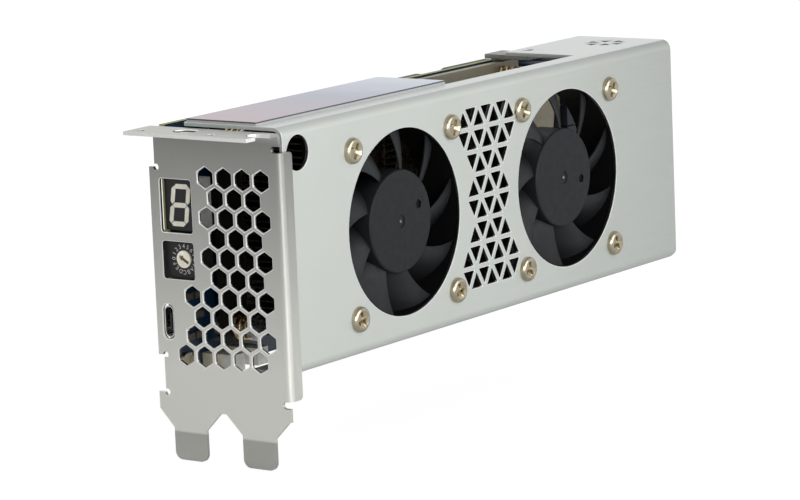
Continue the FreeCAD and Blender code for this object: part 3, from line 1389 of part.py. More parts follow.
def make_ear_screws():
    """Screws that hold the bracket's ears to the board, with their nuts behind it."""
    screws = []
    for number, place in enumerate(ear_screw_places()):
        head = rod(f"ear_head_{number}", "y", "2 * ear_screw_radius",
                   ("board_front - bracket_sheet - 1", "board_front - bracket_sheet"), *place)
        shank = rod(f"ear_shank_{number}", "y", "ear_screw_radius",
                    ("board_front - bracket_sheet", f"{BOARD_BACK} + 0.6"), *place)
        screws.append(join(f"ear_screw_{number}", [head, shank]))
    return gather("ear_screw_group", screws)


# ---------------------------------------------------------------- build, check and write

def check_and_write():
    """Stop on any failed object or bad shape, then write one STEP file for each part."""
    doc.recompute()
    failed = [item.Name for item in doc.Objects if {"Invalid", "Error"} & set(item.State)]
    if failed:
        raise RuntimeError("failed objects: " + ", ".join(failed))
    for part in PARTS:
        if part.Shape.isNull() or not part.Shape.isValid():
            raise RuntimeError("bad shape: " + part.Label)
    os.makedirs("parts", exist_ok=True)
    for part in PARTS:
        part.Shape.exportStep(f"parts/{part.Label}.step")
        box = part.Shape.BoundBox
        print(f"{part.Label:24s} {len(part.Shape.Solids):4d} solids {part.Shape.Volume:10.1f} mm3"
              f"  x {box.XMin:7.2f} {box.XMax:7.2f}  y {box.YMin:7.2f} {box.YMax:7.2f}"
              f"  z {box.ZMin:7.2f} {box.ZMax:7.2f}")


def build_card():
    """Make every part of the card."""
    keep(cut("bracket_cut", make_bracket(), bracket_openings()), "bracket")
    keep(cut("cover_cut", make_cover_blank(), cover_openings()), "cover")
    keep(block("label", ("label_start", "label_end"), ("label_front", "label_back"),
               ("cover_top", "cover_top + label_sheet")), "label_plate")
    make_fans()
    keep(make_board(), "circuit_board")
    keep(make_contacts(), "edge_contacts")
    keep(make_rear_bars(), "rear_bars")
    keep(make_plate(), "heatsink_plate")
    keep(make_fins(), "heatsink_fins")
    keep(make_springs(), "heatsink_springs")
    screws, nuts = make_sprung_screws()
    keep(screws, "heatsink_screws")
    keep(nuts, "heatsink_nuts")
    carrier, lid = make_processor()
    keep(carrier, "processor_carrier")
    keep(lid, "processor_lid")
    chips, pads = make_memory()
    keep(chips, "memory_chips")
    keep(pads, "thermal_pads")
    keep(make_power_stages(), "power_stages")
    keep(make_coils(), "inductors")
    keep(make_cans(), "capacitors")
    keep(make_small_parts(), "small_board_parts")
    keep(make_stay(), "cover_stay")
    housing, face = make_display()
    keep(housing, "display_housing")
    keep(face, "display_face")
    keep(make_digit(), "display_digit")
    switch, dial = make_switch()
    keep(switch, "code_switch_body")
    keep(dial, "code_switch_rotor")
    shell, tongue = make_socket()
    keep(shell, "usb_shell")
    keep(tongue, "usb_tongue")
    headers, plugs = make_fan_headers()
    keep(headers, "fan_headers")
    keep(plugs, "fan_plugs")
    keep(make_ear_screws(), "bracket_screws")


fill_sheet()
build_card()
check_and_write()
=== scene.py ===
import json
import math

import bmesh
import bpy
from mathutils import Matrix, Vector


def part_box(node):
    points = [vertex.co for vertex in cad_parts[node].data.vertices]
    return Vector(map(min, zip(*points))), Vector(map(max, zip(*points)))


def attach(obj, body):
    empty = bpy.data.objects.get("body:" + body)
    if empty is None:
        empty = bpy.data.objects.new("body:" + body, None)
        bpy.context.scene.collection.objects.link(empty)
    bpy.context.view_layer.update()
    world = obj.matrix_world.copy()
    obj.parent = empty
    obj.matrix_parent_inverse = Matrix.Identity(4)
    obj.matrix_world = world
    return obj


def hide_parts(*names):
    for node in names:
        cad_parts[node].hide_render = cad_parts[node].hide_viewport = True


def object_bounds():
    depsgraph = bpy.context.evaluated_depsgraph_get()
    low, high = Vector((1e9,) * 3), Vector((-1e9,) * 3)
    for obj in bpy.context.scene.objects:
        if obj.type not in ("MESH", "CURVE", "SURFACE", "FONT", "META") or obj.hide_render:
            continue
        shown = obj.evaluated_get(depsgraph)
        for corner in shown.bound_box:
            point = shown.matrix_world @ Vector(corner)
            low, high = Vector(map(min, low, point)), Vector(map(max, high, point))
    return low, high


bl_info = {
    "name": "Fan-cooled accelerator card",
    "version": (1, 0, 0),
    "blender": (4, 5, 0),
    "location": "3D View > Sidebar > Card",
    "description": "Dresses the card's solids with finishes and fine detail",
    "category": "Object",
}

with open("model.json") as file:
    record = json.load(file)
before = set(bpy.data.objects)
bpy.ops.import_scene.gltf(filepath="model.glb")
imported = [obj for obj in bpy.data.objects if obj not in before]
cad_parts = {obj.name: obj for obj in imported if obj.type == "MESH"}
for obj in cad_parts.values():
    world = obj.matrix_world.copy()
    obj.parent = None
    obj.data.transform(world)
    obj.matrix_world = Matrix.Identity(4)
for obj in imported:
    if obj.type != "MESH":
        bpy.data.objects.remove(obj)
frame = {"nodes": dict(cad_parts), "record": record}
CAD_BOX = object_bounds()
MM = 0.001
BODIES = frame["record"]["behaviour"]["bodies"]
BODY_OF = {node: body for body, nodes in BODIES.items() for node in nodes}

ACROSS = Vector((1, 0, 0))      # along the card
FAN_AXIS = Vector((0, 1, 0))    # through the fans and their screws
HIGHLIT_RIM, SHADED_WALL = 1, 2                # a sheet's material slots: cut rims painted bright as a highlight, openings' walls painted dark as shade
EDGE_ON = 0.4                   # below this share of its normal, a face stands edge-on to an axis
SHARP_TURN = math.radians(35)   # edges that turn by more are rounded
CRISP_TURN = 38                 # edges that turn by more degrees stay crisp in the shading
SMALLEST_GAP = 0.001 * MM       # points that lie closer are one point


# ------------------------------------------------ sizes and colours a user may change

class CardSizes(bpy.types.PropertyGroup):
    edge_soft: bpy.props.FloatProperty(
        name="Edge softness", description="Width of the rounding on sheet metal edges",
        default=0.13 * MM, unit="LENGTH")
    small_edge_soft: bpy.props.FloatProperty(
        name="Small edge softness", description="Width of the rounding on moulded parts",
        default=0.16 * MM, unit="LENGTH")
    recess_width: bpy.props.FloatProperty(
        name="Recess width", description="Width of a screw's cross recess",
        default=1.45 * MM, unit="LENGTH")
    recess_reach: bpy.props.FloatProperty(
        name="Recess reach", description="Half the length of the cross recess",
        default=2.85 * MM, unit="LENGTH")
    hub_radius: bpy.props.FloatProperty(
        name="Hub radius", description="Outer radius of a fan's hub",
        default=12.5 * MM, unit="LENGTH")
    hub_lift: bpy.props.FloatProperty(
        name="Hub lift", description="How far the hub's front stands forward",
        default=0.45 * MM, unit="LENGTH")
    blade_reach: bpy.props.FloatProperty(
        name="Blade reach", description="Radius of the blade tips",
        default=22.5 * MM, unit="LENGTH")
    dial_text: bpy.props.FloatProperty(
        name="Dial figures", description="Height of the figures round the dial",
        default=1.45 * MM, unit="LENGTH")
    dial_ring: bpy.props.FloatProperty(
        name="Dial ring", description="Radius of the ring of figures",
        default=3.05 * MM, unit="LENGTH")


class CardColours(bpy.types.PropertyGroup):
    cover: bpy.props.FloatVectorProperty(
        name="Cover", description="Satin sheet of the cover", subtype="COLOR",
        default=(0.53, 0.56, 0.53))
    bracket: bpy.props.FloatVectorProperty(
        name="Bracket", description="Plated steel of the bracket", subtype="COLOR",
        default=(0.74, 0.74, 0.695))
    label: bpy.props.FloatVectorProperty(
        name="Label plate", description="Pale plate on top of the cover", subtype="COLOR",
        default=(0.56, 0.52, 0.58))
    fan: bpy.props.FloatVectorProperty(
        name="Fans", description="Moulded plastic of the rotors", subtype="COLOR",
        default=(0.0105, 0.0115, 0.0128))
    board: bpy.props.FloatVectorProperty(
        name="Circuit board", description="Solder mask of the board", subtype="COLOR",
        default=(0.0022, 0.019, 0.047))
    bronze: bpy.props.FloatVectorProperty(
        name="Heat sink", description="Plated metal of the heat sink", subtype="COLOR",
        default=(0.33, 0.30, 0.23))
    screw: bpy.props.FloatVectorProperty(
        name="Screws", description="Warm nickel plating of the screws", subtype="COLOR",
        default=(0.48, 0.43, 0.32))


class StageSettings(bpy.types.PropertyGroup):
    camera_place: bpy.props.FloatVectorProperty(
        name="Camera", description="Where the camera stands", subtype="TRANSLATION",
        default=(-0.6694, -0.5432, 0.1824))
    camera_azimuth: bpy.props.FloatProperty(
        name="Azimuth", description="Direction the camera looks from, about the vertical",
        subtype="ANGLE", default=math.radians(-53.77))
    camera_elevation: bpy.props.FloatProperty(
        name="Elevation", description="Angle of the camera above the horizon", subtype="ANGLE",
        default=math.radians(9.945))
    camera_roll: bpy.props.FloatProperty(
        name="Roll", description="Tilt of the camera about its own axis", subtype="ANGLE",
        default=math.radians(-2.406))
    focal_length: bpy.props.FloatProperty(
        name="Focal length", description="Lens in millimetres on a 36 mm sensor", default=170.65)
    key_power: bpy.props.FloatProperty(
        name="Key light", description="Power of the large soft light on the fan side",
        default=8.5)
    fill_power: bpy.props.FloatProperty(
        name="Fill light", description="Power of the soft light from behind and above",
        default=4.5)
    front_power: bpy.props.FloatProperty(
        name="Front light", description="Power of the light beside the camera", default=4.0)
    surround: bpy.props.FloatProperty(
        name="Surround", description="Strength of the white room's light", default=0.38)


# ------------------------------------------------ material building

def ranged(tree, value, source, target):
    """A value mapped from the source's low and high to the target's."""
    node = tree.nodes.new("ShaderNodeMapRange")
    for name, number in zip(("From Min", "From Max", "To Min", "To Max"), (*source, *target)):
        node.inputs[name].default_value = number
    tree.links.new(value, node.inputs["Value"])
    return node.outputs["Result"]


def combined(tree, operation, first, second):
    """Two values put through one operation, such as ADD or MAXIMUM."""
    node = tree.nodes.new("ShaderNodeMath")
    node.operation = operation
    tree.links.new(first, node.inputs[0])
    tree.links.new(second, node.inputs[1])
    return node.outputs["Value"]


class Finish:
    """A new material with its shader, object coordinates and the few patterns used here."""

    def __init__(self, name, colour, metallic=0.0, roughness=0.5):
        self.material = bpy.data.materials.new(name)
        self.material.use_nodes = True
        self.tree = self.material.node_tree
        self.nodes = self.tree.nodes
        self.links = self.tree.links
        self.shader = self.nodes["Principled BSDF"]
        self.shader.inputs["Base Color"].default_value = (*colour, 1)
        self.shader.inputs["Metallic"].default_value = metallic
        self.shader.inputs["Roughness"].default_value = roughness
        self.coordinates = self.nodes.new("ShaderNodeTexCoord").outputs["Object"]
        self.colour = tuple(colour)
        self.bump_height = None

    def stretched(self, stretch):
        """Object coordinates scaled along each axis, for brushed or drawn patterns."""
        mapping = self.nodes.new("ShaderNodeMapping")
        mapping.inputs["Scale"].default_value = stretch
        self.links.new(self.coordinates, mapping.inputs["Vector"])
        return mapping.outputs["Vector"]

    def noise(self, grains_per_mm, detail=2.0, stretch=(1, 1, 1)):
        """Soft noise with about so many grains to the millimetre."""
        texture = self.nodes.new("ShaderNodeTexNoise")
        texture.inputs["Scale"].default_value = grains_per_mm / MM
        texture.inputs["Detail"].default_value = detail
        self.links.new(self.stretched(stretch), texture.inputs["Vector"])
        return texture.outputs["Fac"]

    def spread(self, value, low, high, start=0.3, end=0.7):
        """A pattern mapped from start..end to low..high."""
        return ranged(self.tree, value, (start, end), (low, high))

    def along(self, axis, start, end):
        """The place along one axis, from 0 at start to 1 at end."""
        split = self.nodes.new("ShaderNodeSeparateXYZ")
        self.links.new(self.coordinates, split.inputs["Vector"])
        return self.spread(split.outputs[axis], 0, 1, start, end)

    def sway(self, value, pattern, amount):
        """A value shifted a little either way with a pattern."""
        return combined(self.tree, "ADD", value, self.spread(pattern, -amount, amount))

    def shades(self, value, stops):
        """Colour the surface by a pattern, through any number of (place, colour) stops."""
        ramp = self.nodes.new("ShaderNodeValToRGB")
        elements = ramp.color_ramp.elements
        while len(elements) < len(stops):
            elements.new(1.0)
        for element, (place, colour) in zip(elements, stops):
            element.position = place
            element.color = (*colour, 1)
        self.links.new(value, ramp.inputs["Fac"])
        self.links.new(ramp.outputs["Color"], self.shader.inputs["Base Color"])

    def two_tone(self, value, dark, light, start=0.3, end=0.7):
        """Colour the surface between two tones by a pattern."""
        self.shades(value, [(start, dark), (end, light)])

    def dull(self, level):
        """Weaken the plain reflection, for dark plastics in the shade."""
        self.shader.inputs["Specular IOR Level"].default_value = level

    def tones(self, value, share):
        """Vary the base colour by a share either way with a pattern."""
        dark = [channel * (1 - share) for channel in self.colour]
        light = [min(1.0, channel * (1 + share)) for channel in self.colour]
        self.two_tone(value, dark, light)

    def rough(self, value, low, high):
        """Vary the roughness with a pattern."""
        self.links.new(self.spread(value, low, high), self.shader.inputs["Roughness"])

    def bump(self, value, height_mm, strength):
        """Raise the surface with a pattern; several bumps add up."""
        node = self.nodes.new("ShaderNodeBump")
        node.inputs["Strength"].default_value = strength
        node.inputs["Distance"].default_value = height_mm * MM
        self.links.new(value, node.inputs["Height"])
        if self.bump_height is not None:
            self.links.new(self.bump_height, node.inputs["Normal"])
        self.bump_height = node.outputs["Normal"]
        self.links.new(self.bump_height, self.shader.inputs["Normal"])


def colours():
    """The colours set in the scene."""
    return bpy.context.scene.card_colours


def sizes():
    """The sizes set in the scene."""
    return bpy.context.scene.card_sizes


def tinted(colour, *shares):
    """A colour times one share, or times a share for each channel."""
    each = shares if len(shares) == 3 else shares * 3
    return [channel * share for channel, share in zip(colour, each)]


def satin_cover_metal():
    """Satin sheet, faintly brushed along the card, with painted shade that makes it a little darker
    towards the far end.
    """
    finish = Finish("satin_cover_metal", colours().cover, metallic=0.3, roughness=0.42)
    low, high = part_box("cover")
    place = finish.sway(finish.along("X", low.x, high.x), finish.noise(1.2, 2, (0.05, 1, 1)), 0.03)
    finish.shades(place, [(0.0, tinted(finish.colour, 1.05)), (0.55, tinted(finish.colour, 1.0)),
                          (1.0, tinted(finish.colour, 0.80))])
    finish.rough(finish.noise(0.06, 2), 0.38, 0.47)
    finish.bump(finish.noise(3.0, 2), 0.010, 0.35)
    return finish.material


def cut_edge_highlight(name, colour):
    """A painted highlight: the rims where sheet metal was cut or punched, and faces that catch the
    light, in a brighter and less metallic tone.
    """
    finish = Finish(name, colour, metallic=0.35, roughness=0.3)
    finish.tones(finish.noise(2.5, 2), 0.04)
    finish.bump(finish.noise(3.0, 2), 0.006, 0.3)
    return finish.material


def plated_bracket_steel():
    """Satin plated sheet steel with painted light and shade: darker at the tongues' ends, bright low
    down, dimmer near the top, the top tab a little lighter.
    """
    finish = Finish("plated_bracket_steel", colours().bracket, metallic=0.92, roughness=0.34)
    low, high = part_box("bracket")
    tone = finish.colour
    # Painted shade and light: darker tongues' ends and top, lighter tab, for how the light falls on
    # them.
    finish.shades(finish.along("Z", low.z, high.z),
                  [(0.0, tinted(tone, 0.66)), (0.082, tinted(tone, 0.58)), (0.088, tone),
                   (0.28, tone), (0.965, tinted(tone, 0.40)), (0.985, tinted(tone, 0.60))])
    finish.rough(finish.noise(0.9, 3, (1, 1, 0.1)), 0.28, 0.40)
    finish.bump(finish.noise(2.5, 3, (1, 1, 0.15)), 0.008, 0.3)
    return finish.material


def label_plate_finish():
    """Pale satin plate that shades from rose through lilac to cool grey along its length."""
    finish = Finish("label_plate_finish", colours().label, metallic=0.4, roughness=0.33)
    low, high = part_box("label_plate")
    place = finish.sway(finish.along("X", low.x, high.x), finish.noise(0.1, 2), 0.04)
    tone = finish.colour
    finish.shades(place, [(0.0, tinted(tone, 1.0, 0.865, 0.828)),
                          (0.25, tinted(tone, 0.946, 0.904, 0.897)),
                          (0.55, tinted(tone, 0.857, 0.962, 1.017)),
                          (1.0, tinted(tone, 1.304, 1.5, 1.5))])
    finish.bump(finish.noise(1.8, 2), 0.006, 0.25)
    return finish.material


def label_plate_edge():
    """The plate's cut edge: dark printed film above, pale metal below."""
    finish = Finish("label_plate_edge", (0.10, 0.10, 0.14), metallic=0.2, roughness=0.4)
    low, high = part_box("label_plate")
    place = finish.sway(finish.along("Z", low.z, high.z), finish.noise(0.8, 2), 0.03)
    finish.shades(place, [(0.52, (0.50, 0.52, 0.50)), (0.60, finish.colour)])
    return finish.material


def moulded(name, colour, roughness, height=0.012, specular=0.4):
    """Moulded plastic with a fine spark-eroded grain."""
    grain = 1.6
    finish = Finish(name, colour, roughness=roughness)
    finish.dull(specular)
    finish.tones(finish.noise(0.35, 3), 0.12)
    finish.rough(finish.noise(grain, 2), roughness - 0.06, roughness + 0.06)
    finish.bump(finish.noise(grain * 2, 3), height, 0.5)
    return finish.material


def plated(name, colour, roughness):
    """Bright plated or drawn metal with slight unevenness."""
    grain = 1.2
    finish = Finish(name, colour, metallic=1.0, roughness=roughness)
    finish.tones(finish.noise(0.4, 3), 0.10)
    finish.rough(finish.noise(grain, 3), roughness - 0.07, roughness + 0.08)
    finish.bump(finish.noise(grain * 2, 2), 0.006, 0.3)
    return finish.material


def fan_plastic():
    """Dark glass-filled plastic of the rotors: matte, with painted light on the blades and painted
    shade that darkens it the deeper it lies.
    """
    finish = Finish("fan_plastic", colours().fan, roughness=0.5)
    finish.dull(0.22)
    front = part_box("fan_rotor_1")[0].y - sizes().hub_lift
    depth = finish.sway(finish.along("Y", front, front + 7 * MM), finish.noise(1.4, 1), 0.02)
    tone = finish.colour
    # Painted light and shade: the blades a little lighter near the front, darker with depth.
    finish.shades(depth, [(0.0, tone), (0.06, tone), (0.12, tinted(tone, 1.6)), (0.45, tone),
                          (1.0, tinted(tone, 0.15))])
    finish.rough(finish.noise(0.5, 3), 0.42, 0.58)
    finish.bump(finish.noise(3.0, 3), 0.014, 0.5)
    return finish.material


def board_finish():
    """Solder mask over copper tracks, which show as thin raised lines."""
    finish = Finish("board_finish", colours().board, roughness=0.32)
    tracks = finish.nodes.new("ShaderNodeTexBrick")
    tracks.inputs["Scale"].default_value = 1 / MM
    tracks.inputs["Brick Width"].default_value = 2.4
    tracks.inputs["Row Height"].default_value = 0.55
    tracks.inputs["Mortar Size"].default_value = 0.11
    turn = finish.nodes.new("ShaderNodeMapping")
    turn.inputs["Rotation"].default_value = (math.radians(90), 0, 0)
    finish.links.new(finish.coordinates, turn.inputs["Vector"])
    finish.links.new(turn.outputs["Vector"], tracks.inputs["Vector"])
    finish.two_tone(tracks.outputs["Fac"], finish.colour, tinted(finish.colour, 1.7), 0.2, 0.9)
    finish.bump(tracks.outputs["Fac"], 0.02, 0.5)
    finish.shader.inputs["Coat Weight"].default_value = 0.4
    finish.shader.inputs["Coat Roughness"].default_value = 0.15
    return finish.material


def laminate_edge():
    """The cut edge of the board: yellow-green glass cloth in fine layers."""
    finish = Finish("laminate_edge", (0.36, 0.37, 0.13), roughness=0.6)
    finish.tones(finish.noise(1.5, 3, (0.2, 4, 0.2)), 0.3)
    finish.bump(finish.noise(3.0, 2), 0.02, 0.4)
    return finish.material


def bronze_finish(name, colour, roughness, near):
    """Warm plated heat sink metal, a little uneven, with painted shade that darkens it towards the
    bracket.
    """
    finish = Finish(name, colour, metallic=0.6, roughness=roughness)
    low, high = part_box("cover")
    place = finish.sway(finish.along("X", low.x, high.x), finish.noise(0.12, 4), 0.06)
    # Painted shade: the colour falls to the share near towards the bracket.
    finish.shades(place, [(0.4, tinted(colour, near)), (0.62, colour)])
    finish.rough(finish.noise(0.6, 3), roughness - 0.08, roughness + 0.1)
    finish.bump(finish.noise(1.5, 2), 0.01, 0.3)
    return finish.material


def ferrite():
    """Pressed iron powder: dull, coarse and pitted."""
    finish = Finish("ferrite", (0.035, 0.045, 0.065), roughness=0.75)
    finish.tones(finish.noise(3, 4), 0.35)
    finish.bump(finish.noise(4, 3), 0.03, 0.7)
    return finish.material


def pale_ceramic():
    """Small fired parts with tinned ends."""
    finish = Finish("pale_ceramic", (0.096, 0.084, 0.068), roughness=0.45)
    finish.tones(finish.noise(0.9, 2), 0.25)
    finish.bump(finish.noise(3, 2), 0.01, 0.3)
    return finish.material


# ------------------------------------------------ mesh building

def copied_surface(node):
    """A clean bmesh of a CAD node: loose triangles merged, flat faces made whole."""
    mesh = bmesh.new()
    mesh.from_mesh(frame["nodes"][node].data)
    bmesh.ops.remove_doubles(mesh, verts=mesh.verts, dist=SMALLEST_GAP)
    bmesh.ops.dissolve_limit(mesh, angle_limit=math.radians(0.8), verts=mesh.verts,
                             edges=mesh.edges)
    return mesh


def sharp_edges(mesh):
    """The edges that are to be rounded."""
    return [edge for edge in mesh.edges
            if edge.is_manifold and edge.calc_face_angle(0) > SHARP_TURN]


def soften(mesh, edges, width, slot=-1):
    """Round the edges, with the roundings in a material slot."""
    bmesh.ops.bevel(mesh, geom=edges, offset=width, offset_type="OFFSET", affect="EDGES",
                    segments=2, profile=0.5, material=slot, clamp_overlap=True)


def edge_groups(edges):
    """Sharp edges gathered into the outline, which comes first, and one group for each opening."""
    left = dict.fromkeys(edges)
    groups = []
    while left:
        group = [left.popitem()[0]]
        for edge in group:
            for vert in edge.verts:
                for near in vert.link_edges:
                    if near in left:
                        del left[near]
                        group.append(near)
        groups.append(group)
    return sorted(groups, key=lambda group: -max(extents(group)))


def extents(edges):
    """The length, depth and height that some edges take up."""
    along_axes = zip(*(vert.co for edge in edges for vert in edge.verts))
    return [max(places) - min(places) for places in along_axes]


def piece(mesh, name, body, material, hides=(), crisp_turn=CRISP_TURN, more=()):
    """Turn a bmesh into a finished object that rides on a CAD body."""
    data = bpy.data.meshes.new(name)
    for face in mesh.faces:
        face.smooth = True
    for edge in mesh.edges:
        edge.smooth = edge.calc_face_angle(0) < math.radians(crisp_turn)
    mesh.to_mesh(data)
    mesh.free()
    thing = bpy.data.objects.new(name, data)
    bpy.context.scene.collection.objects.link(thing)
    data.materials.append(material)
    for other in more:
        data.materials.append(other)
    weighted = thing.modifiers.new("Weighted normals", "WEIGHTED_NORMAL")
    weighted.keep_sharp = True
    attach(thing, body)
    if hides:
        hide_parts(*hides)


def stand_in(mesh, node, ending, material, crisp_turn=CRISP_TURN, more=()):
    """Turn a bmesh into the object that stands for a CAD node."""
    piece(mesh, node + ending, BODY_OF[node], material, (node,), crisp_turn, more)


def softened_copy(node, material, width):
    """A copy of a CAD node with rounded edges."""
    mesh = copied_surface(node)
    soften(mesh, sharp_edges(mesh), width)
    stand_in(mesh, node, "_soft", material)


def smooth_copy(node, material):
    """A copy of a CAD node shaded as one rounded surface."""
    stand_in(copied_surface(node), node, "_smooth", material, 75)


def two_part_copy(node, material, other, takes_other):
    """A copy of a CAD node, on which the faces that pass a test take the other material."""
    mesh = copied_surface(node)
    for face in mesh.faces:
        face.material_index = int(takes_other(face))
    stand_in(mesh, node, "_edged", material, more=(other,))


def punched_copy(node, material, rim, wall, width, is_highlit, is_shaded_inside):
    """A copy of a punched sheet with painted light: rims painted bright as a highlight, walls in its
    openings and rims inside painted dark as shade.
    """
    mesh = copied_surface(node)
    for face in mesh.faces:
        face.material_index = HIGHLIT_RIM if is_highlit(face) else 0
    outline, *openings = edge_groups(sharp_edges(mesh))
    for group in openings:
        spans = extents(group)
        through = spans.index(min(spans))
        for edge in group:
            for face in edge.link_faces:
                if abs(face.normal[through]) < EDGE_ON:
                    face.material_index = SHADED_WALL
    for group in (outline, *openings):
        soften(mesh, [edge for edge in group if edge.is_valid], width, HIGHLIT_RIM)
    for face in mesh.faces:
        if face.material_index == HIGHLIT_RIM and is_shaded_inside(face):
            face.material_index = SHADED_WALL
    low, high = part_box(node)
    for vert in mesh.verts:
        vert.co = [min(max(vert.co[axis], low[axis]), high[axis]) for axis in range(3)]
    stand_in(mesh, node, "_edged", material, more=(rim, wall))


def dress(node, material):
    """Give a CAD node a finish, as it is."""
    slots = frame["nodes"][node].data.materials
    slots.clear()
    slots.append(material)


def spun(profile, centre, steps):
    """A bmesh turned once round the fans' direction from (radius, place) pairs."""
    mesh = bmesh.new()
    points = [mesh.verts.new(centre + ACROSS * radius + FAN_AXIS * along)
              for radius, along in profile]
    edges = [mesh.edges.new(pair) for pair in zip(points, points[1:])]
    bmesh.ops.spin(mesh, geom=points + edges, cent=centre, axis=FAN_AXIS, angle=math.tau,
                   steps=steps, use_merge=True, use_duplicate=False)
    bmesh.ops.remove_doubles(mesh, verts=mesh.verts, dist=SMALLEST_GAP)
    bmesh.ops.recalc_face_normals(mesh, faces=mesh.faces)
    return mesh


def merge(whole, part):
    """Add one bmesh to another and free it."""
    held = bpy.data.meshes.new("held")
    part.to_mesh(held)
    part.free()
    whole.from_mesh(held)
    bpy.data.meshes.remove(held)


def block(mesh, size, centre, taper):
    """Add a box whose +Y end is narrowed by the taper; returns its corners."""
    made = bmesh.ops.create_cube(mesh, size=1)["verts"]
    bmesh.ops.scale(mesh, verts=made, vec=size)
    bmesh.ops.scale(mesh, verts=[v for v in made if v.co.y > 0], vec=taper)
    bmesh.ops.translate(mesh, verts=made, vec=centre)
    return made


def linked(mesh, name):
    """A plain scene object made from a bmesh."""
    data = bpy.data.meshes.new(name)
    mesh.to_mesh(data)
    mesh.free()
    thing = bpy.data.objects.new(name, data)
    bpy.context.scene.collection.objects.link(thing)
    return thing


def carved(mesh, tool_mesh):
    """A bmesh of the first shape with the second cut away; frees both."""
    body, tool = linked(mesh, "carved_body"), linked(tool_mesh, "carving_tool")
    carve = body.modifiers.new("carve", "BOOLEAN")
    carve.operation = "DIFFERENCE"
    carve.solver = "EXACT"
    carve.use_self = True
    carve.object = tool
    bpy.context.view_layer.update()
    depsgraph = bpy.context.evaluated_depsgraph_get()
    data = bpy.data.meshes.new_from_object(body.evaluated_get(depsgraph))
    result = bmesh.new()
    result.from_mesh(data)
    for used in (body.data, tool.data, data):
        bpy.data.meshes.remove(used)
    return result


# ------------------------------------------------ operators, one for each group

class CARD_OT_stage(bpy.types.Operator):
    """Set the pale floor, the soft lights and the camera"""
    bl_idname = "card.stage"
    bl_label = "Stage"

    def execute(self, context):
        settings = context.scene.stage_settings
        self.set_camera(context, settings)
        self.set_room(context, settings)
        self.set_floor()
        self.set_lights(settings)
        context.scene.view_settings.view_transform = "Standard"
        return {"FINISHED"}

    def set_camera(self, context, settings):
        """A long lens that stands at the bracket's corner."""
        data = bpy.data.cameras.new("camera")
        data.lens = settings.focal_length
        data.clip_end = 20
        camera = bpy.data.objects.new("camera", data)
        context.scene.collection.objects.link(camera)
        turn = (Matrix.Rotation(settings.camera_azimuth, 4, "Z")
                @ Matrix.Rotation(math.radians(90) - settings.camera_elevation, 4, "X")
                @ Matrix.Rotation(settings.camera_roll, 4, "Z"))
        camera.matrix_world = Matrix.Translation(settings.camera_place) @ turn
        context.scene.camera = camera

    def set_room(self, context, settings):
        """A white room: plain for what is seen and mirrored, softer as a light."""
        world = bpy.data.worlds.new("room")
        world.use_nodes = True
        tree = world.node_tree
        nodes, links = tree.nodes, tree.links
        background = nodes["Background"]
        background.inputs["Color"].default_value = (1, 1, 1, 1)
        path = nodes.new("ShaderNodeLightPath").outputs
        seen = combined(tree, "MAXIMUM", path["Is Camera Ray"], path["Is Transmission Ray"])
        mirrored = combined(tree, "MAXIMUM", seen, path["Is Glossy Ray"])
        split = nodes.new("ShaderNodeSeparateXYZ")
        links.new(nodes.new("ShaderNodeTexCoord").outputs["Generated"], split.inputs["Vector"])
        ceiling = ranged(tree, split.outputs["Z"], (0.1, 0.7), (1.0, 0.45))
        strength = nodes.new("ShaderNodeMix")
        strength.data_type = "FLOAT"
        strength.inputs["A"].default_value = settings.surround
        links.new(ceiling, strength.inputs["B"])
        links.new(mirrored, strength.inputs["Factor"])
        links.new(strength.outputs["Result"], background.inputs["Strength"])
        context.scene.world = world

    def set_floor(self):
        """A wide white floor that keeps a faint shadow."""
        lowest, gap, half_width = CAD_BOX[0][2], 0.2 * MM, 4
        mesh = bmesh.new()
        bmesh.ops.create_grid(mesh, x_segments=1, y_segments=1, size=half_width)
        bmesh.ops.translate(mesh, verts=mesh.verts, vec=(0, 0, lowest - gap))
        data = bpy.data.meshes.new("floor")
        mesh.to_mesh(data)
        mesh.free()
        floor = bpy.data.objects.new("floor", data)
        bpy.context.scene.collection.objects.link(floor)
        finish = Finish("floor_paper", (0.9, 0.9, 0.9), roughness=0.9)
        glow = finish.nodes.new("ShaderNodeEmission")
        glow.inputs["Strength"].default_value = 1.1
        mix = finish.nodes.new("ShaderNodeMixShader")
        path = finish.nodes.new("ShaderNodeLightPath")
        share = ranged(finish.tree, path.outputs["Is Camera Ray"], (0, 1), (0.0, 0.85))
        finish.links.new(share, mix.inputs["Fac"])
        finish.links.new(finish.shader.outputs["BSDF"], mix.inputs[1])
        finish.links.new(glow.outputs["Emission"], mix.inputs[2])
        surface = finish.nodes["Material Output"].inputs["Surface"]
        finish.links.new(mix.outputs["Shader"], surface)
        data.materials.append(finish.material)

    def set_lights(self, settings):
        """Three soft square lights that face the middle of the card."""
        middle = Vector((0.08, 0, 0.02))
        for name, power, width, place in (
                ("key", settings.key_power, 1.2, Vector((0.25, -1.2, 0.45))),
                ("front", settings.front_power, 0.5, Vector((-0.55, -0.85, 0.22))),
                ("top", settings.fill_power, 0.9, Vector((0.45, 0.9, 0.9)))):
            data = bpy.data.lights.new(name, "AREA")
            data.energy = power
            data.size = width
            light = bpy.data.objects.new(name, data)
            turn = (middle - place).to_track_quat("-Z", "Y").to_matrix().to_4x4()
            light.matrix_world = Matrix.Translation(place) @ turn
            bpy.context.scene.collection.objects.link(light)


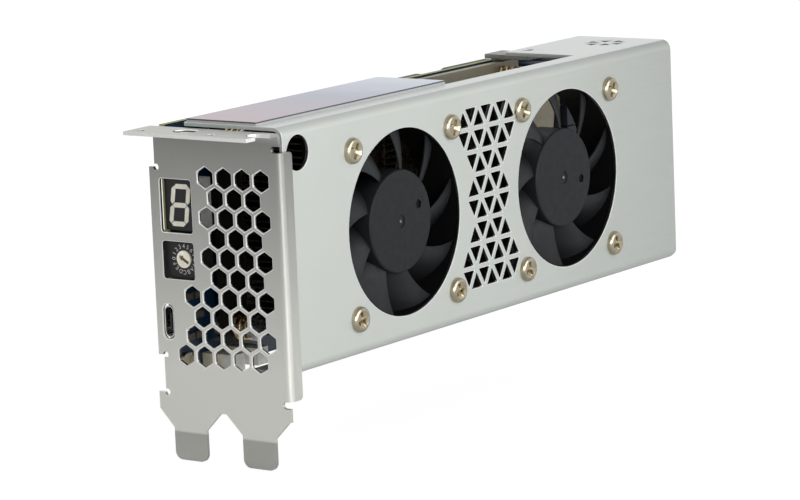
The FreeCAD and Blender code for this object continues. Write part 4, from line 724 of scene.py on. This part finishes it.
class CARD_OT_bracket(bpy.types.Operator):
    """Round the bracket's punched edges and plate it, with its screws"""
    bl_idname = "card.bracket"
    bl_label = "Bracket"

    def execute(self, context):
        sheet = 1.1 * MM
        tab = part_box("bracket")[1].z - sheet

        # Painted highlight: the top tab's cut edges take the bright rim finish.
        def is_highlit_tab_edge(face):
            return abs(face.normal.z) < EDGE_ON and all(vert.co.z > tab for vert in face.verts)

        # Painted highlight on the rims; painted shade on the openings' walls and on the rims facing
        # inside.
        punched_copy("bracket", plated_bracket_steel(),
                     cut_edge_highlight("sheared_steel_highlight", (0.86, 0.86, 0.83)),
                     plated("punched_wall_shade", (0.15, 0.145, 0.125), 0.4),
                     2 * sizes().edge_soft, is_highlit_tab_edge, lambda face: face.normal.x > 0.1)
        dress("bracket_screws", plated("ear_screw_plating", colours().screw, 0.3))
        return {"FINISHED"}


class CARD_OT_cover(bpy.types.Operator):
    """Round the cover's cut edges, finish it and lay the label plate on it"""
    bl_idname = "card.cover"
    bl_label = "Cover and label plate"

    def execute(self, context):
        bend = 2.5 * MM
        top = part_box("cover")[1].z - bend

        def on_top(face):
            return face.calc_center_median().z > top

        # Painted highlight: the upward faces on top take the lighter metal with the rims; painted
        # shade: the inner faces below the top take the dark wall finish.
        punched_copy("cover", satin_cover_metal(),
                     cut_edge_highlight("cover_highlight_metal", (0.74, 0.77, 0.75)),
                     plated("cover_inside_shade", (0.13, 0.13, 0.125), 0.35), 1.5 * sizes().edge_soft,
                     lambda face: face.normal.z > 0.95 and on_top(face),
                     lambda face: face.normal.y > 0.1 and not on_top(face))
        two_part_copy("label_plate", label_plate_finish(), label_plate_edge(),
                      lambda face: abs(face.normal.z) < EDGE_ON)
        softened_copy("cover_stay", plated("stay_steel", (0.26, 0.26, 0.25), 0.35), 0.08 * MM)
        return {"FINISHED"}


class CARD_OT_fans(bpy.types.Operator):
    """Finish both fans: smooth rotors, frames and the motor parts behind them"""
    bl_idname = "card.fans"
    bl_label = "Fans"

    def execute(self, context):
        rotor_plastic = fan_plastic()
        frame_plastic = moulded("frame_plastic", (0.004, 0.004, 0.004), 0.6, specular=0.08)
        steel = plated("shaft_steel", (0.70, 0.70, 0.70), 0.2)
        magnet = moulded("magnet", (0.04, 0.04, 0.04), 0.7)
        bronze = plated("bearing_bronze", (0.62, 0.40, 0.20), 0.4)
        laminate = moulded("motor_laminate", (0.03, 0.16, 0.07), 0.4)
        core = plated("stator_core", (0.35, 0.35, 0.37), 0.45)
        # The nib's light grey is a painted highlight; the mark's near black is painted shade.
        details = (moulded("moulding_nib_highlight", (0.16, 0.17, 0.17), 0.25),
                   moulded("mark_shade", (0.004, 0.004, 0.005), 0.7, specular=0.1))
        for number, turned in ((1, 8), (2, -25)):
            self.rotor(number, turned, rotor_plastic, details)
            softened_copy(f"fan_frame_{number}", frame_plastic, sizes().small_edge_soft)
            dress(f"fan_shaft_{number}", steel)
            dress(f"fan_magnet_{number}", magnet)
            dress(f"fan_bearing_{number}", bronze)
            dress(f"fan_motor_board_{number}", laminate)
            dress(f"fan_stator_{number}", core)
        return {"FINISHED"}

    def rotor(self, number, turned, plastic, details):
        """A cupped hub with a dimple and a small mark, and nine smooth swept blades."""
        node = f"fan_rotor_{number}"
        front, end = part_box(node)[0].y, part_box(node)[1].y
        low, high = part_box(f"fan_shaft_{number}")
        shaft = (high.x - low.x) / 2
        centre = Vector(((low.x + high.x) / 2, front, (low.z + high.z) / 2))
        hub = spun(self.cup(end - front, shaft), centre, 72)
        angle = math.radians(15 + turned)
        place = centre + Vector((math.cos(angle), 0, math.sin(angle))) * sizes().hub_radius * 0.64
        rotor = carved(hub, self.mark(place, shaft * 1.2))
        for face in rotor.faces:
            in_mark = all((vert.co - place).xz.length < shaft * 1.25
                          and vert.co.y < front + 0.5 * MM for vert in face.verts)
            face.material_index = 2 if in_mark else 0
        blades = 9
        for index in range(blades):
            self.add_blade(rotor, centre, turned - 5 + 360 // blades * index)
        self.add_nib(rotor, centre)
        stand_in(rotor, node, "_smooth", plastic, 50, details)

    def mark(self, place, radius):
        """The five-sided tool that presses the small mark into the hub's front."""
        depth, reach = 2 * MM, 0.6 * MM
        mesh = bmesh.new()
        bmesh.ops.create_cone(mesh, cap_ends=True, segments=5, radius1=radius, radius2=radius,
                              depth=depth, matrix=Matrix.Rotation(math.radians(90), 4, "X"))
        bmesh.ops.translate(mesh, verts=mesh.verts,
                            vec=place - Vector((0, sizes().hub_lift + reach, 0)))
        return mesh

    def cup(self, depth, shaft):
        """The hub's profile from its dimple round to its boss, as (radius, place from the front)."""
        radius, lift = sizes().hub_radius, sizes().hub_lift
        edge, wall, dimple = 0.6 * MM, 1.0 * MM, 0.25 * MM
        return [(0, dimple - lift), (1.5 * shaft, dimple - lift), (1.6 * shaft, -lift),
                (radius - edge, -lift), (radius - 0.3 * edge, 0.3 * edge - lift),
                (radius, edge - lift), (radius, depth), (radius - wall, depth),
                (radius - wall, wall), (2 * shaft, wall), (2 * shaft, 1.9 * wall),
                (0, 1.9 * wall)]

    def add_nib(self, mesh, centre):
        """The small glossy dome left in the middle of the hub by its mould; its light grey is a
        painted highlight.
        """
        radius, sunk = 0.42 * MM, 0.2 * MM
        made = bmesh.ops.create_uvsphere(mesh, u_segments=16, v_segments=8, radius=radius)["verts"]
        bmesh.ops.scale(mesh, verts=made, vec=(1, 0.6, 1))
        bmesh.ops.translate(mesh, verts=made, vec=centre - Vector((0, sizes().hub_lift - sunk, 0)))
        for face in {face for vert in made for face in vert.link_faces}:
            face.material_index = 1

    def add_blade(self, mesh, centre, root_angle):
        """One blade: a slab swept backwards and twisted round the hub; degrees and millimetres."""
        chord, lean, pitch, front = 30, 16.5, 5.8, 1.15
        blade = bmesh.new()
        bmesh.ops.create_grid(blade, x_segments=7, y_segments=12, size=0.5)
        top = bmesh.ops.extrude_face_region(blade, geom=blade.faces[:], use_keep_orig=True)["geom"]
        bmesh.ops.translate(blade, vec=(0, 0, 1),
                            verts=[part for part in top if isinstance(part, bmesh.types.BMVert)])
        root = sizes().hub_radius - 0.3 * MM
        span = sizes().blade_reach - root
        for vert in blade.verts:
            share, along, side = vert.co.x + 0.5, vert.co.y + 0.5, vert.co.z * 2 - 1
            bow = math.sin(math.pi * along)
            half_thickness = 0.45 * (0.4 + 0.6 * bow)
            lift = 0.5 + 0.8 * share
            angle = math.radians(root_angle + lean * share - 0.5 - chord * along)
            depth = front + pitch * along - 0.9 * bow - lift + side * half_thickness
            distance = root + span * share
            vert.co = (centre.x + distance * math.cos(angle), centre.y + depth * MM,
                       centre.z + distance * math.sin(angle))
        bmesh.ops.recalc_face_normals(blade, faces=blade.faces)
        merge(mesh, blade)


class CARD_OT_fan_screws(bpy.types.Operator):
    """Turn the eight pan heads and press a cross recess into each"""
    bl_idname = "card.fan_screws"
    bl_label = "Fan screws"

    def execute(self, context):
        low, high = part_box("fan_screws")
        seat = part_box("cover")[0].y
        centres = self.centres(low, high)
        master = self.screw(low.y, seat, high.y)
        whole = bmesh.new()
        for index, (x, z) in enumerate(centres):
            one = master.copy()
            bmesh.ops.rotate(one, verts=one.verts, cent=(0, 0, 0),
                             matrix=Matrix.Rotation(math.radians(17 + 47 * index), 3, "Y"))
            bmesh.ops.translate(one, verts=one.verts, vec=(x, 0, z))
            merge(whole, one)
        master.free()
        piece(whole, "pan_head_screws", BODY_OF["fan_screws"],
              plated("screw_nickel", colours().screw, 0.20),
              ("fan_screws",), 50)
        return {"FINISHED"}

    def centres(self, low, high):
        """The eight screw places, worked out from the CAD group's corners and the fans."""
        fans = [sum(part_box(f"fan_frame_{number}"), Vector()) / 2 for number in (1, 2)]
        head_radius = 3.15 * MM
        half_height = (high.z - low.z) / 2 - head_radius
        half_width = fans[0].x - low.x - head_radius
        return [(fan.x + a * half_width, fan.z + b * half_height)
                for fan in fans for a in (1, -1) for b in (1, -1)]

    def screw(self, top, seat, end):
        """One screw along Y at the origin: domed pan head, plain shank, cross recess."""
        radius = 3.13 * MM
        shank = 1.85 * MM
        depth = seat - top
        profile = [(0, top + 0.10 * depth), (radius * 0.60, top + 0.08 * depth),
                   (radius * 0.66, top + 0.02 * depth), (radius * 0.80, top + 0.06 * depth),
                   (radius * 0.93, top + 0.28 * depth),
                   (radius * 0.99, top + 0.62 * depth), (radius, seat),
                   (shank, seat), (shank, end - 0.4 * MM), (shank * 0.7, end), (0, end)]
        recess = bmesh.new()
        size = (2 * sizes().recess_reach, 1.3 * depth, sizes().recess_width)
        for turned in (0, 90):
            made = block(recess, size, (0, top, 0), (0.45, 1, 0.45))
            bmesh.ops.rotate(recess, verts=made, cent=(0, 0, 0),
                             matrix=Matrix.Rotation(math.radians(turned), 3, "Y"))
        return carved(spun(profile, Vector((0, 0, 0)), 36), recess)


class CARD_OT_heat_sink(bpy.types.Operator):
    """Finish the plate, the fins and the sprung screws"""
    bl_idname = "card.heat_sink"
    bl_label = "Heat sink"

    def execute(self, context):
        tone = colours().bronze
        # Painted shade: the fins take the bronze at 0.15 of its brightness; their front edges a
        # lighter brass, partly a painted highlight.
        two_part_copy("heatsink_fins", bronze_finish("shaded_fin_bronze", tinted(tone, 0.15), 0.42, 1.0),
                      plated("fin_edge_brass_highlight", (0.42, 0.35, 0.21), 0.3),
                      lambda face: face.normal.y < -0.9)
        softened_copy("heatsink_plate", bronze_finish("plate_bronze", tone, 0.45, 0.07),
                      sizes().edge_soft)
        smooth_copy("heatsink_springs", plated("spring_brass", (0.72, 0.52, 0.25), 0.25))
        dress("heatsink_screws", plated("sprung_screw_steel", (0.62, 0.60, 0.56), 0.28))
        dress("heatsink_nuts", plated("nut_tin", (0.70, 0.68, 0.62), 0.35))
        dress("thermal_pads", moulded("soft_pad", (0.22, 0.22, 0.25), 0.8))
        dress("processor_lid", plated("lid_nickel", (0.62, 0.62, 0.62), 0.3))
        dress("processor_carrier", moulded("carrier_laminate", (0.02, 0.10, 0.04), 0.4))
        return {"FINISHED"}


class CARD_OT_board(bpy.types.Operator):
    """Finish the circuit board and what is soldered to it"""
    bl_idname = "card.board"
    bl_label = "Circuit board"

    def execute(self, context):
        soft = sizes().small_edge_soft
        two_part_copy("circuit_board", board_finish(), laminate_edge(),
                      lambda face: abs(face.normal.y) < EDGE_ON)
        dress("edge_contacts", plated("contact_gold", (0.83, 0.60, 0.22), 0.25))
        softened_copy("rear_bars", moulded("bar_plastic", (0.012, 0.012, 0.013), 0.45), soft)
        package = moulded("package_black", (0.016, 0.016, 0.017), 0.5)
        dress("memory_chips", package)
        dress("power_stages", package)
        softened_copy("inductors", ferrite(), soft)
        sleeve = moulded("capacitor_sleeve", (0.020, 0.030, 0.060), 0.35)
        softened_copy("capacitors", sleeve, soft)
        softened_copy("small_board_parts", pale_ceramic(), 0.1 * MM)
        return {"FINISHED"}


class CARD_OT_display(bpy.types.Operator):
    """Finish the one-figure display behind the upper window"""
    bl_idname = "card.display"
    bl_label = "Display"

    def execute(self, context):
        grey = moulded("display_grey", (0.42, 0.42, 0.40), 0.5)
        softened_copy("display_housing", grey, 0.1 * MM)
        dress("display_face", moulded("display_black", (0.010, 0.010, 0.012), 0.35, height=0.004))
        dress("display_digit", moulded("light_pipe", (0.80, 0.77, 0.66), 0.4, height=0.004))
        return {"FINISHED"}


class CARD_OT_code_switch(bpy.types.Operator):
    """Finish the rotary code switch and print its sixteen figures"""
    bl_idname = "card.code_switch"
    bl_label = "Code switch"

    def execute(self, context):
        black = moulded("switch_black", (0.013, 0.013, 0.014), 0.45)
        softened_copy("code_switch_body", black, 0.1 * MM)
        low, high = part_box("code_switch_rotor")
        centre = (low + high) / 2
        two_part_copy("code_switch_rotor",
                      moulded("dial_cream", (0.90, 0.87, 0.74), 0.4, height=0.004),
                      moulded("slot_shade", (0.30, 0.22, 0.10), 0.6),
                      lambda face: self.in_slot(face, low.x, centre))
        self.print_figures(context, centre)
        return {"FINISHED"}

    def in_slot(self, face, front, centre):
        """Whether a face of the dial lies inside its arrow slot."""
        slot_reach, rim, slot_depth = 1.35 * MM, 0.05 * MM, 1.2 * MM
        middle = face.calc_center_median()
        off = math.hypot(middle.y - centre.y, middle.z - centre.z)
        return off < slot_reach and front + rim < middle.x < front + slot_depth

    def print_figures(self, context, centre):
        """Flat figures 0 to F, upright towards the ring's outside, joined as one mesh."""
        face, paint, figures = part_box("code_switch_body")[0].x, 0.02 * MM, 16
        stand = Matrix(((0, 0, -1, 0), (-1, 0, 0, 0), (0, 1, 0, 0), (0, 0, 0, 1)))
        whole = bmesh.new()
        for number in range(figures):
            data = bpy.data.curves.new("figure", "FONT")
            data.body = f"{number:X}"
            data.size = sizes().dial_text
            data.align_x = data.align_y = "CENTER"
            figure = bpy.data.objects.new("figure", data)
            context.scene.collection.objects.link(figure)
            context.view_layer.update()
            depsgraph = context.evaluated_depsgraph_get()
            flat = bpy.data.meshes.new_from_object(figure.evaluated_get(depsgraph))
            turn = Matrix.Rotation(math.radians(90 - 360 / figures * number), 4, "Z")
            flat.transform(stand @ turn @ Matrix.Translation((0, sizes().dial_ring, 0)))
            flat.transform(Matrix.Translation((face - paint, centre.y, centre.z)))
            whole.from_mesh(flat)
            bpy.data.objects.remove(figure)
            bpy.data.curves.remove(data)
            bpy.data.meshes.remove(flat)
        piece(whole, "dial_figures", BODY_OF["code_switch_body"],
              moulded("figure_paint", (0.62, 0.60, 0.54), 0.5, height=0.002))


class CARD_OT_connectors(bpy.types.Operator):
    """Finish the socket and the fan connectors"""
    bl_idname = "card.connectors"
    bl_label = "Connectors"

    def execute(self, context):
        softened_copy("usb_shell", plated("socket_tin", (0.70, 0.70, 0.69), 0.22), 0.08 * MM)
        dress("usb_tongue", moulded("tongue_black", (0.015, 0.015, 0.015), 0.5))
        softened_copy("fan_headers", moulded("header_cream", (0.74, 0.68, 0.54), 0.45), 0.12 * MM)
        softened_copy("fan_plugs", moulded("plug_white", (0.80, 0.79, 0.75), 0.45), 0.12 * MM)
        return {"FINISHED"}


class CARD_PT_panel(bpy.types.Panel):
    """Lists the steps that dress the card"""
    bl_idname = "CARD_PT_panel"
    bl_label = "Accelerator card"
    bl_space_type = "VIEW_3D"
    bl_region_type = "UI"
    bl_category = "Card"

    def draw(self, context):
        for step in STEPS:
            self.layout.operator(step.bl_idname)


STEPS = (
    CARD_OT_stage,
    CARD_OT_bracket,
    CARD_OT_cover,
    CARD_OT_fans,
    CARD_OT_fan_screws,
    CARD_OT_heat_sink,
    CARD_OT_board,
    CARD_OT_display,
    CARD_OT_code_switch,
    CARD_OT_connectors,
)
CLASSES = (CardSizes, CardColours, StageSettings) + STEPS + (CARD_PT_panel,)


def register():
    for each in CLASSES:
        bpy.utils.register_class(each)
    bpy.types.Scene.card_sizes = bpy.props.PointerProperty(type=CardSizes)
    bpy.types.Scene.card_colours = bpy.props.PointerProperty(type=CardColours)
    bpy.types.Scene.stage_settings = bpy.props.PointerProperty(type=StageSettings)


def unregister():
    del bpy.types.Scene.stage_settings
    del bpy.types.Scene.card_colours
    del bpy.types.Scene.card_sizes
    for each in reversed(CLASSES):
        bpy.utils.unregister_class(each)


def main():
    register()
    for step in STEPS:
        group, name = step.bl_idname.split(".")
        getattr(getattr(bpy.ops, group), name)()


if __name__ == "__main__":
    main()
